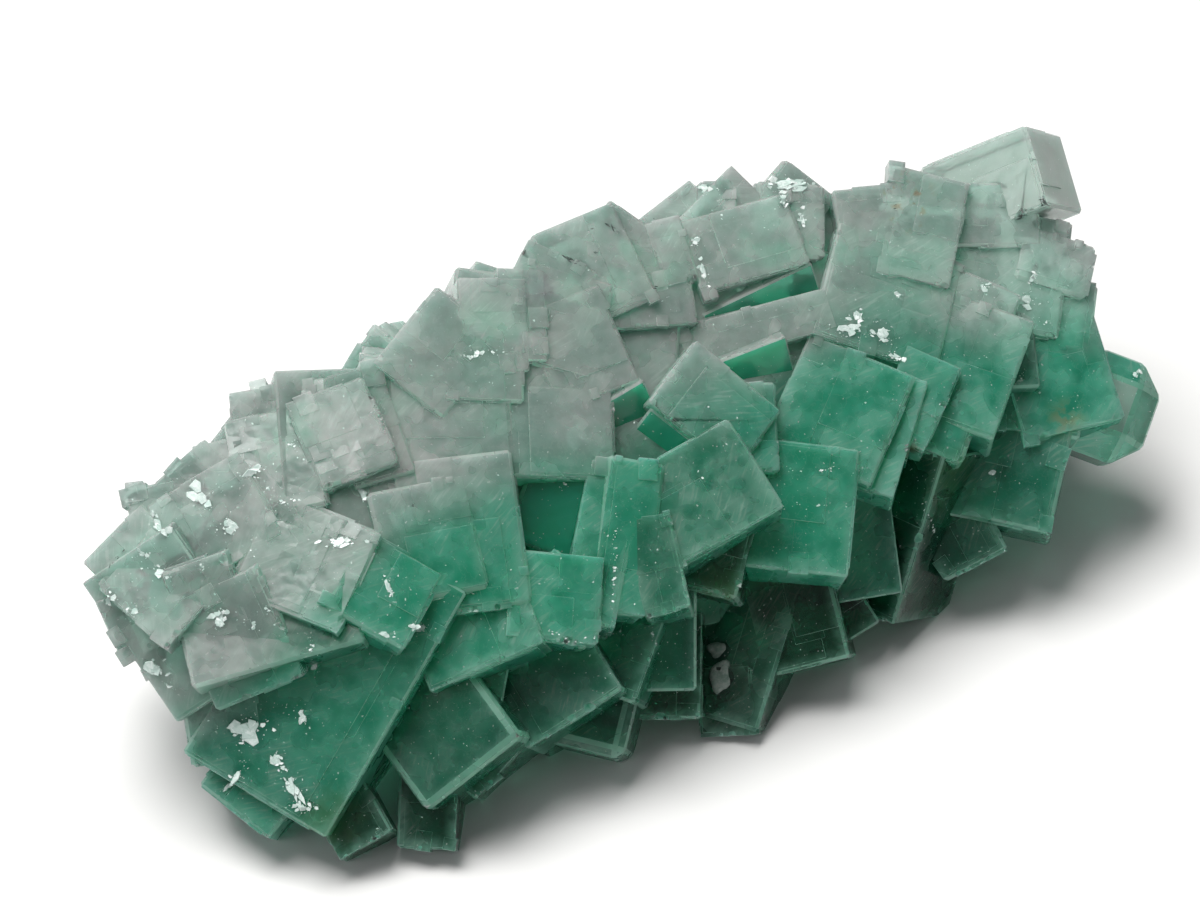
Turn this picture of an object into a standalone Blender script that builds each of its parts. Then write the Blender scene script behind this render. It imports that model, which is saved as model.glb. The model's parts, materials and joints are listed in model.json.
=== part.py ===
"""A cluster of intergrown cubic crystals, broken off its matrix and resting on the broken face.

The cluster is about 116 mm long. It grew as one mass: every crystal shares its walls with its
neighbours, so the whole cluster is a single solid. X runs along the cluster, Y from the growth
face to the back, Z up. The origin is the middle of the bounding box's bottom.
"""

import math
import random

import bmesh
import bpy
from mathutils import Matrix, Vector

MM = 0.001

# The crystals are set out on the growth face: a sloping drawing plane that leans back 45 degrees
# and is turned 30 degrees about Z. On it x runs to the right and y runs down, in steps of 0.11 mm,
# and h is a corner's height above the plane in millimetres. Heights are drawn in perspective from
# a point SIGHT millimetres above the plane, so a high corner lies a little nearer the middle.
STEP = 0.11
MIDDLE = (600.0, 450.0)
SIGHT = 550.0
LEAN = math.radians(45.0)
TURN = math.radians(-30.0)

# The growth surface: its height at the lip, the lip's place up the drawing, and how fast it falls
# away above the lip, below it, to the right and past the near end, in mm a mm.
LIP_HEIGHT = 42.0
LIP_UP = -16.5
FALL_ABOVE = 0.296
FALL_BELOW = 0.20
FALL_RIGHT = 0.26
LEVEL_FROM = (9.0, -28.0)
FALL_NEAR_END = 0.15

# A terrace is a thinner crystal grown on a front face: at least this wide a face carries one.
TERRACED_FROM = 8.0
TERRACE_RISE = (0.20, 0.45)
TERRACE_SHARE = (0.45, 0.8)
TERRACE_DEPTH = 4.0

# From the middle of the drawing plane's foot to the row's origin, in millimetres.
TO_ORIGIN = (8.06, 12.83, 0.0)

CUT_DEPTH = 20.0   # of the block that trims the foot of the cluster
WELD = 0.000005    # vertices nearer than this are one

RIGHT = Vector((math.cos(TURN), math.sin(TURN), 0.0))
OUT = Vector((math.sin(TURN) * math.cos(LEAN), -math.cos(TURN) * math.cos(LEAN), math.sin(LEAN)))
UP = OUT.cross(RIGHT)

# One line per crystal: name, x, y of the corner it is placed by and how far that stands proud of
# the growth surface in mm, which corner of its front face that is (bl, br, tl, tr, or c for the
# centre), spin in the plane, tip (front face leaning back towards the top), turn (front face
# looking right), then width, height and depth in mm and the width of its edge facets.
CRYSTALS = [
    # the near end: clear crystals stepping up to the left tip
    ("A1", 82, 562, 0.2, "tl", 47, 18, 5, 8.5, 9.0, 12.0, 0),
    ("A2", 126, 490, 0.3, "tl", 12, 16, -7, 5.0, 8.0, 9.0, 0),
    ("A3", 152, 484, 0.3, "tl", 43, 18, 4, 7.0, 12.0, 12.0, 0),
    ("A4", 177, 723, 0.1, "bl", 34, -2, -12, 11.0, 17.0, 15.0, 0),
    ("A17", 123, 665, -0.1, "bl", 24, -4, -11, 8.0, 7.0, 12.0, 0),
    ("A18", 205, 600, 0.35, "c", 20, -5, -11, 7.0, 8.0, 12.0, 0),
    ("A19", 262, 520, 0.3, "c", 38, 17, 2, 7.0, 9.0, 12.0, 0),
    ("A5", 192, 768, -0.3, "bl", 9, -1, -10, 8.0, 9.0, 10.0, 0),
    ("A6", 192, 446, 0.2, "tl", 11, 19, -3, 6.0, 9.0, 10.0, 0),
    ("A7", 209, 443, 0.0, "tl", 53, 16, 5, 5.0, 9.0, 10.0, 0),
    ("A8", 228, 393, 0.3, "tl", 7, 16, -8, 5.0, 9.0, 12.0, 0),
    ("A9", 251, 387, 0.2, "tl", 6, 18, -5, 7.6, 12.0, 12.0, 0),
    ("A10", 318, 380, 0.0, "tl", 20, 14, 15, 6.5, 12.0, 12.0, 0),
    ("A11", 158, 588, 0.5, "c", 50, 16, 5, 8.0, 9.5, 12.0, 0),
    ("A12", 214, 520, 0.5, "c", 30, 16, -1, 11.0, 10.0, 12.0, 0),
    ("A13", 275, 462, 0.4, "c", 12, 17, -4, 9.0, 11.0, 12.0, 0),
    ("A14", 342, 432, -0.2, "c", 24, 18, 11, 8.5, 10.0, 12.0, 0),
    ("A15", 236, 640, 0.45, "c", 24, -6, -12, 10.0, 12.0, 13.0, 0),
    ("A16", 305, 560, 0.0, "c", -24, 13, -11, 12.0, 11.0, 13.0, 0),
    # the big lower left crystal, its neighbours and the small ones under it
    ("B1", 325, 838, 1.8, "br", -30, -2, -8, 17.0, 28.5, 17.0, 0),
    ("B2", 268, 839, 0.6, "br", -38, 2, -8, 9.0, 10.0, 12.0, 0),
    ("B3", 340, 860, -0.2, "bl", 30, 10, 0, 6.0, 7.0, 9.0, 0),
    ("B4", 425, 812, 1.8, "bl", 37, 13, -7, 12.5, 14.5, 14.0, 0.5),
    ("B5", 475, 800, -1.2, "bl", 48, 8, 0, 9.0, 8.0, 9.0, 0),
    ("B6", 455, 849, 1.0, "br", -2, 6, -6, 6.0, 9.0, 9.0, 0),
    ("B7", 430, 692, 0.0, "bl", 23, 14, -4, 12.6, 13.0, 12.0, 0),
    ("B8", 527, 749, 0.0, "bl", 32, 12, -4, 11.5, 14.0, 13.0, 0),
    ("B9", 622, 760, -0.6, "br", -14, 6, -8, 9.5, 9.0, 10.0, 1.0),
    ("B10", 633, 704, -0.6, "br", -20, 4, -14, 6.0, 11.0, 9.0, 0),
    ("B11", 428, 540, 0.15, "c", 14, 14, 14, 10.0, 12.0, 12.0, 0),
    ("B12", 385, 590, -0.1, "c", -28, 19, 3, 9.0, 9.0, 12.0, 0),
    # the middle column
    ("C1", 532, 603, 1.0, "br", 8, 12, 6, 10.0, 16.0, 14.0, 0),
    ("C2", 583, 650, 1.7, "br", -38, 15, 4, 8.5, 6.5, 11.0, 0),
    ("C3", 613, 628, 1.8, "br", -11, 15, 3, 5.5, 17.0, 12.0, 0),
    ("C4", 645, 617, 1.2, "br", -8, 13, 10, 6.0, 16.0, 13.0, 0),
    ("C5", 645, 617, 1.4, "bl", 13, 12, -2, 4.8, 10.0, 11.0, 0),
    ("C6", 675, 568, 1.9, "bl", 32, 15, 11, 13.0, 11.0, 13.0, 0),
    ("C7", 735, 472, 1.7, "br", -38, 20, 4, 11.5, 8.5, 13.0, 0),
    ("C8", 780, 471, 1.4, "br", 2, 16, 10, 7.0, 9.6, 12.0, 0),
    ("C9", 640, 380, 1.2, "br", 24, 11, 15, 9.0, 11.0, 14.0, 0),
    ("C10", 824, 288, 0.9, "tr", 18, 13, 12, 16.5, 4.4, 12.0, 0),
    ("C11", 512, 490, 0.35, "br", 4, 17, 11, 12.0, 13.0, 16.0, 0),
    ("C12", 616, 480, 1.0, "br", 2, 20, 13, 12.0, 15.0, 12.0, 0),
    ("C13", 512, 548, 0.7, "tl", -4, 12, 9, 9.5, 9.0, 12.0, 0),
    ("C14", 480, 350, 0.4, "c", 2, 17, 12, 9.0, 11.0, 12.0, 0),
    ("C15", 560, 320, 0.5, "c", -14, 19, 7, 9.0, 11.0, 12.0, 0),
    # smooth faces that look down, under the lips of the middle crystals
    ("W1", 812, 263, 1.3, "tr", 19, -30, 13, 13.0, 6.0, 9.0, 0),
    ("W2", 786, 336, 1.4, "tr", 15, -28, 13, 15.0, 6.0, 9.0, 0),
    ("W3", 644, 380, 1.6, "tr", 24, -30, 13, 8.5, 4.0, 9.0, 0),
    ("W4", 619, 477, 1.1, "tr", -21, -7, 6, 8.8, 10.0, 9.0, 0),
    ("W5", 735, 474, 1.6, "tr", -38, -30, 0, 11.0, 5.0, 9.0, 0),
    # the right of the lip
    ("D1", 848, 577, 0.6, "br", -6, 13, 3, 13.5, 13.5, 12.0, 0),
    ("D2", 870, 486, 1.6, "br", -24, 17, -5, 12.0, 13.0, 12.0, 0),
    ("D3", 893, 498, 0.8, "br", -18, 15, -5, 8.0, 13.0, 11.0, 0),
    ("D4", 924, 451, 1.2, "br", -25, 17, -4, 6.0, 10.0, 9.0, 0),
    ("D5", 993, 440, 1.4, "br", -21, 17, -6, 8.0, 14.0, 12.0, 0),
    ("D13", 962, 464, 0.0, "br", -20, 15, 0, 6.5, 9.0, 10.0, 0),
    ("D6", 893, 625, -10.5, "br", -16, -15, -32, 8.0, 19.0, 11.0, 0),
    ("D7", 1050, 534, -4.5, "br", -13, 6, -6, 11.5, 12.5, 12.0, 0),
    ("D8", 945, 582, -10.5, "bl", 28, 4, -4, 7.5, 9.0, 9.0, 0),
    ("D9", 1080, 440, -2.0, "br", -8, 12, 3, 11.0, 17.0, 12.0, 0),
    ("D10", 1113, 404, -3.0, "c", -20, 6, 4, 10.2, 11.4, 11.0, 2.8),
    ("D11", 1089, 302, -0.6, "tr", 16, 13, 8, 11.0, 13.0, 11.0, 0),
    ("D12", 968, 330, 0.4, "c", -22, 19, 1, 8.0, 12.0, 11.0, 0),
    # the shaded crystals under the lip
    ("E1", 757, 733, -5.4, "br", 3, 2, -10, 6.0, 7.0, 10.0, 0),
    ("E2", 757, 731, -4.8, "br", -17, 4, -16, 9.0, 14.0, 12.0, 0),
    ("E3", 850, 657, -4.0, "br", 14, 4, -6, 9.0, 12.0, 11.0, 0),
    ("E4", 736, 599, -1.5, "br", -14, 6, -8, 8.0, 9.0, 9.0, 0),
    ("E5", 880, 622, -10.0, "br", 32, 0, -4, 9.0, 9.0, 9.0, 0),
    ("E6", 700, 719, -4.6, "br", -1, 2, -6, 8.0, 11.0, 10.0, 0),
    # the ridge, from the near end to the far end
    ("F1", 437, 285, 0.4, "tl", -38, 21, 0, 9.0, 11.0, 12.0, 0),
    ("F2", 458, 277, 0.3, "tl", 3, 17, 13, 7.0, 10.0, 12.0, 0),
    ("F3", 497, 268, 0.2, "tl", 2, 19, 12, 5.0, 10.0, 10.0, 0),
    ("F4", 530, 236, -0.1, "tl", 26, 10, 16, 9.5, 11.0, 12.0, 0),
    ("F5", 529, 238, 0.2, "tl", -25, 20, 2, 8.0, 7.0, 12.0, 0),
    ("F6", 610, 199, 0.2, "tl", -34, 19, 3, 7.0, 9.0, 12.0, 0),
    ("F7", 645, 224, 0.4, "tl", 17, 12, 17, 4.0, 7.0, 9.0, 0),
    ("F8", 731, 165, 0.3, "tl", -44, 19, 1, 10.0, 9.5, 12.0, 0),
    ("F9", 697, 181, -0.9, "tl", 0, 20, 0, 4.0, 5.0, 9.0, 0),
    ("F10", 784, 158, -1.0, "tl", -37, 18, 2, 7.0, 7.0, 10.0, 0),
    ("F11", 757, 180, 0.3, "tl", 0, 17, 11, 7.2, 8.0, 9.0, 0),
    ("F12", 832, 190, 0.3, "tl", 9, 15, 13, 7.5, 10.0, 10.0, 0),
    ("F13", 812, 332, 0.8, "bl", -15, 21, 10, 14.0, 13.0, 13.0, 0),
    ("F14", 897, 165, 0.8, "tl", -12, 19, 6, 8.0, 12.0, 12.0, 0),
    ("F15", 1024, 125, 4.0, "tr", 15, 12, -28, 13.0, 9.0, 9.2, 0),
    ("F16", 1072, 222, 0.5, "tr", -8, 15, 7, 16.0, 13.0, 12.0, 0),
    ("F17", 1097, 247, 0.6, "tr", -14, 18, 8, 8.0, 6.0, 8.0, 0),
    ("F18", 810, 262, 1.7, "br", 19, 13, 13, 12.0, 8.0, 12.0, 0),
    ("F19", 650, 285, 0.1, "c", 8, 14, 14, 9.0, 9.0, 12.0, 0),
    ("F20", 985, 214, 0.3, "c", 4, 14, 12, 12.0, 7.0, 14.0, 0),
    # the body the crystals stand on
    ("K1", 258, 580, -1.2, "c", 15, 16, -2, 18.0, 18.0, 22.0, 0),
    ("K2", 400, 480, -1.0, "c", 5, 16, 11, 24.0, 24.0, 26.0, 0),
    ("K3", 560, 392, -1.8, "c", -5, 17, 9, 24.0, 24.0, 26.0, 0),
    ("K4", 750, 360, -1.4, "c", 0, 15, 14, 24.0, 25.0, 30.0, 0),
    ("K5", 920, 290, -1.2, "c", 5, 16, 12, 24.0, 22.0, 28.0, 0),
    ("K6", 400, 660, -5.0, "c", -10, 6, 0, 22.0, 18.0, 22.0, 0),
    ("K7", 600, 625, -5.5, "c", 0, -6, 6, 20.0, 14.0, 24.0, 0),
    ("K8", 790, 530, -7.0, "c", 8, -8, 8, 22.0, 17.0, 22.0, 0),
    ("K9", 960, 440, -5.0, "c", -10, 2, 8, 18.0, 16.0, 20.0, 0),
]

# The back and the near end: the middle of each crystal along X, Y and Z in mm. These crystals lie
# nearly parallel to the rest, each a little off in its turn and size.
BACK_PLACES = [
    (-43, -10, 15), (-34, -6, 20), (-24, -3, 22), (-13, -1, 24), (-2, -1, 25), (9, -2, 25),
    (20, -6, 22), (30, -12, 20), (38, -20, 19),
    (-42, -4, 8), (-32, 2, 12), (-21, 5, 14), (-9, 6, 15), (4, 6, 15), (16, 4, 13),
    (27, -2, 12), (35, -11, 12),
    (-46, -10, 4), (-35, 4, 4), (-24, 8, 5), (-12, 10, 5), (1, 10, 5), (14, 8, 4), (25, 3, 4),
    (33, -8, 4), (36, -19, 7),
    (-52, -15, 11), (-47, -23, 6),
]
BACK_SPIN = 38.0
BACK_LEAN = 13.0
BACK_EDGE = (9.5, 13.0)


def principled(name, colour, roughness, metallic):
    material = bpy.data.materials.new(name)
    material.use_nodes = True
    shader = material.node_tree.nodes["Principled BSDF"]
    shader.inputs["Base Color"].default_value = (*colour, 1.0)
    shader.inputs["Roughness"].default_value = roughness
    shader.inputs["Metallic"].default_value = metallic
    return material


def growth_surface(x, y):
    """Height of the growth surface above the drawing plane at a point of the drawing."""
    right, up = (x - MIDDLE[0]) * STEP, (MIDDLE[1] - y) * STEP
    height = LIP_HEIGHT - FALL_RIGHT * (max(right, LEVEL_FROM[1]) - LEVEL_FROM[0])
    height -= FALL_NEAR_END * max(LEVEL_FROM[1] - right, 0.0)
    if up > LIP_UP:
        return height - FALL_ABOVE * (up - LIP_UP)
    return height + FALL_BELOW * (up - LIP_UP)


def on_face(x, y, proud):
    """A point of the drawing standing proud of the growth surface, as a place in metres."""
    h = growth_surface(x, y) + proud
    shrink = STEP * (SIGHT - h) / SIGHT
    right, up = (x - MIDDLE[0]) * shrink, (MIDDLE[1] - y) * shrink
    return (RIGHT * right + UP * up + OUT * h + Vector(TO_ORIGIN)) * MM


def in_space(x, y, z):
    """A place given along X, Y and Z in millimetres, in metres."""
    return (Vector((x, y, z)) + Vector(TO_ORIGIN)) * MM


def cube_crystal(name, collection, place, pose, size, corner, facet):
    """A cube-shaped crystal whose front face's chosen corner, or whose middle, is at place."""
    mesh = bpy.data.meshes.new(name)
    shape = bmesh.new()
    bmesh.ops.create_cube(shape, size=1.0)
    across = {"bl": 0.5, "tl": 0.5, "br": -0.5, "tr": -0.5}.get(corner, 0.0)
    along = {"bl": 0.5, "br": 0.5, "tl": -0.5, "tr": -0.5}.get(corner, 0.0)
    under = 0.0 if corner == "middle" else -0.5
    for vert in shape.verts:
        vert.co.x = (vert.co.x + across) * size[0] * MM
        vert.co.y = (vert.co.y + along) * size[1] * MM
        vert.co.z = (vert.co.z + under) * size[2] * MM
    if facet:
        bmesh.ops.bevel(
            shape, geom=list(shape.edges), offset=facet * MM, offset_type="OFFSET",
            segments=1, profile=0.5, affect="EDGES",
        )
    bmesh.ops.transform(shape, matrix=pose.to_4x4(), verts=shape.verts)
    bmesh.ops.recalc_face_normals(shape, faces=shape.faces)
    shape.to_mesh(mesh)
    shape.free()
    crystal = bpy.data.objects.new(name, mesh)
    crystal.location = place
    crystal.hide_render = True
    crystal.display_type = "WIRE"
    collection.objects.link(crystal)
    return crystal


def pose_of(spin, tip, turn):
    """A crystal's own axes: width, height and front, as the columns of a rotation."""
    return (
        Matrix((RIGHT, UP, OUT)).transposed()
        @ Matrix.Rotation(math.radians(spin), 3, "Z")
        @ Matrix.Rotation(math.radians(-tip), 3, "X")
        @ Matrix.Rotation(math.radians(turn), 3, "Y")
    )


def terrace(name, collection, place, pose, size, corner, chance):
    """A thinner crystal on the front face of another, set towards one of its corners."""
    across = {"bl": 0.5, "tl": 0.5, "br": -0.5, "tr": -0.5}.get(corner, 0.0)
    along = {"bl": 0.5, "br": 0.5, "tl": -0.5, "tr": -0.5}.get(corner, 0.0)
    wide = size[0] * chance.uniform(*TERRACE_SHARE)
    high = size[1] * chance.uniform(*TERRACE_SHARE)
    slack = Vector((size[0] - wide, size[1] - high, 0.0)) * 0.5
    shift = Vector((
        across * size[0] + slack.x * chance.choice((-0.85, 0.85)),
        along * size[1] + slack.y * chance.choice((-0.85, 0.85)),
        chance.uniform(*TERRACE_RISE),
    ))
    middle = place + pose @ (shift * MM)
    return cube_crystal(name, collection, middle, pose, (wide, high, TERRACE_DEPTH), "c", 0)


def block(name, collection, low, high):
    """A box between two corners, in millimetres along X, Y and Z."""
    mesh = bpy.data.meshes.new(name)
    shape = bmesh.new()
    bmesh.ops.create_cube(shape, size=1.0)
    for vert in shape.verts:
        for axis in range(3):
            side = vert.co[axis] + 0.5
            vert.co[axis] = (low[axis] + side * (high[axis] - low[axis])) * MM
    shape.to_mesh(mesh)
    shape.free()
    box = bpy.data.objects.new(name, mesh)
    collection.objects.link(box)
    return box


def new_collection(name):
    collection = bpy.data.collections.new(name)
    bpy.context.scene.collection.children.link(collection)
    return collection


for old in list(bpy.data.objects):
    bpy.data.objects.remove(old, do_unlink=True)

cluster = new_collection("cubic_crystal_cluster")
grown = new_collection("intergrown_crystals")
trims = new_collection("trims")

terraces = random.Random(21)
for name, x, y, proud, corner, spin, tip, turn, wide, high, deep, facet in CRYSTALS:
    place = on_face(x, y, proud)
    pose = pose_of(spin, tip, turn)
    size = (wide, high, deep)
    cube_crystal(name, grown, place, pose, size, corner, facet)
    if min(wide, high) >= TERRACED_FROM and not facet and name[0] not in "KW":
        terrace(name + "_terrace", grown, place, pose, size, corner, terraces)

chance = random.Random(5)
for number, (x, y, z) in enumerate(BACK_PLACES, start=1):
    pose = pose_of(
        chance.uniform(-BACK_SPIN, BACK_SPIN),
        chance.uniform(-BACK_LEAN, BACK_LEAN),
        chance.uniform(-BACK_LEAN, BACK_LEAN),
    )
    size = [chance.uniform(*BACK_EDGE) for _ in range(3)]
    cube_crystal("back%02d" % number, grown, in_space(x, y, z), pose, size, "middle", 0)

body = block("crystal_cluster", cluster, (-33.7, -13, -2), (38.3, 15, 17))
body.data.materials.append(principled("clear_green_crystal", (0.20, 0.52, 0.38), 0.22, 0.0))
join = body.modifiers.new("intergrown", "BOOLEAN")
join.operation = "UNION"
join.operand_type = "COLLECTION"
join.collection = grown
join.solver = "EXACT"

# The crystals' outer skin alone is kept: where they meet, pockets a few tenths of a millimetre
# wide stay shut in between them, and those are filled.
bpy.context.view_layer.update()
grown_mesh = bpy.data.meshes.new_from_object(
    body.evaluated_get(bpy.context.evaluated_depsgraph_get())
)
body.modifiers.clear()
body.data = grown_mesh
skin = bmesh.new()
skin.from_mesh(grown_mesh)
bmesh.ops.remove_doubles(skin, verts=skin.verts, dist=WELD)
bmesh.ops.dissolve_degenerate(skin, edges=skin.edges, dist=WELD)
shells, left = [], set(skin.verts)
while left:
    shell, edge_of_it = set(), [left.pop()]
    while edge_of_it:
        vert = edge_of_it.pop()
        shell.add(vert)
        for edge in vert.link_edges:
            other = edge.other_vert(vert)
            if other in left:
                left.discard(other)
                edge_of_it.append(other)
    shells.append(shell)
shells.sort(key=len)
bmesh.ops.delete(skin, geom=[v for shell in shells[:-1] for v in shell], context="VERTS")
skin.to_mesh(grown_mesh)
skin.free()

foot = block("foot_cut", trims, (-120, -120, -CUT_DEPTH), (120, 120, 0))
foot.hide_render = True
foot.display_type = "WIRE"
flat = body.modifiers.new("broken_foot", "BOOLEAN")
flat.operation = "DIFFERENCE"
flat.object = foot
flat.solver = "EXACT"
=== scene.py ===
"""The cubic crystal cluster as it looks: satin growth faces over clear and green crystal.

The cluster is grown again from the same table of crystals as the CAD solid, with the growth steps,
chipped rims and small blocks that are too fine for it. Lengths in the tables are millimetres.
"""

import json
import math
import random

import bmesh
import bpy
from mathutils import Matrix, Vector
from mathutils.bvhtree import BVHTree

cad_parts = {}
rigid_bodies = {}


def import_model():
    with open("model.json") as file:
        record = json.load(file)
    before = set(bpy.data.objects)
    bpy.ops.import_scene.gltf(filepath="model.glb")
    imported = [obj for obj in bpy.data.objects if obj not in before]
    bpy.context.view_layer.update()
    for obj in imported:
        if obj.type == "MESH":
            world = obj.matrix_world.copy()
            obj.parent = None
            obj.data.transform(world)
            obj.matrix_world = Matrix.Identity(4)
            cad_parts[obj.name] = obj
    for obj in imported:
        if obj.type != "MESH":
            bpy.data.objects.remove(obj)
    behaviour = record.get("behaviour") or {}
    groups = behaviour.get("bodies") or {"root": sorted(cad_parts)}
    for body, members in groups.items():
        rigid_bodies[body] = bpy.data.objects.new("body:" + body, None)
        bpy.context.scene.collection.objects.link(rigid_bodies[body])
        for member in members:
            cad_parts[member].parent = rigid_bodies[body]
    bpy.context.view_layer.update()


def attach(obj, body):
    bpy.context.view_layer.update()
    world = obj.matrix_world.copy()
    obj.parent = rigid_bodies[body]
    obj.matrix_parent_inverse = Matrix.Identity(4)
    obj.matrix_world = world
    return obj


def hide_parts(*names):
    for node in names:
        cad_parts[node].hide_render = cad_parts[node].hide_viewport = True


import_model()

MM = 0.001

# The drawing plane, as in the CAD model: it leans back 45 degrees and is turned 30 degrees about
# Z. x runs to the right and y down in steps of 0.11 mm, h is a height above the plane.
STEP = 0.11
MIDDLE = (600.0, 450.0)
SIGHT = 550.0
LEAN = math.radians(45.0)
TURN = math.radians(-30.0)
TO_ORIGIN = Vector((8.06, 12.83, 0.0))
RIGHT = Vector((math.cos(TURN), math.sin(TURN), 0.0))
OUT = Vector((math.sin(TURN) * math.cos(LEAN), -math.cos(TURN) * math.cos(LEAN), math.sin(LEAN)))
UP = OUT.cross(RIGHT)

LIP_HEIGHT = 42.0
LIP_UP = -16.5
FALL_ABOVE = 0.296
FALL_BELOW = 0.20
FALL_RIGHT = 0.26
LEVEL_FROM = (9.0, -28.0)
FALL_NEAR_END = 0.15

TERRACED_FROM = 8.0
TERRACE_RISE = (0.20, 0.45)
TERRACE_SHARE = (0.45, 0.8)
TERRACE_DEPTH = 4.0

# What the CAD solid leaves out: rounded edges, thin growth layers on the front and the sides,
# little blocks set in the rims, and chips out of them.
EDGE = (0.18, 0.36)
FINE_EDGE = 0.03
LAYERS = (1, 3)
LAYER_RISE = (0.03, 0.10)
LAYER_SHARE = (0.3, 0.95)
TERRACE_SINKS = 0.4
SIDE_RISE = (0.04, 0.22)
RIM_BLOCK = (0.7, 2.2)
CHIP = (0.22, 0.75)
CHIPS = 900

FACE, RIM, WINDOW, CLEAR_FACE = 0, 1, 2, 3

# Painted shade: how far a crystal's colour is darkened towards a shaded green, for those low down and under
# the lip where shade falls.
PAINTED_SHADE_GROUP = {"E": 1.0, "K": 0.5}
PAINTED_SHADE_BY_CRYSTAL = {
    "B1": 0.15, "B3": 0.95, "B4": 0.65, "B5": 0.85, "B6": 0.95, "B7": 0.1, "B8": 0.6, "B9": 0.75, "B10": 0.6,
    "C5": 0.55, "C6": 0.4, "D6": 0.95, "D7": 0.35, "D8": 0.8, "W4": 0.3, "E2": 0.85,
}

# Crystals so clear that one sees right through them.
CLEAREST = ("F15", "D10")

# How thickly a crystal's faces are covered by little blocks a few degrees out of line.
MOSAIC = {"A": 0.20, "B": 0.09, "C": 0.06, "D": 0.08, "E": 0.06, "F": 0.12, "b": 0.09}
MOSAIC_BLOCK = (0.7, 3.4)
MOSAIC_LEAN = {"A": 4.5, "F": 3.0}

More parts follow.
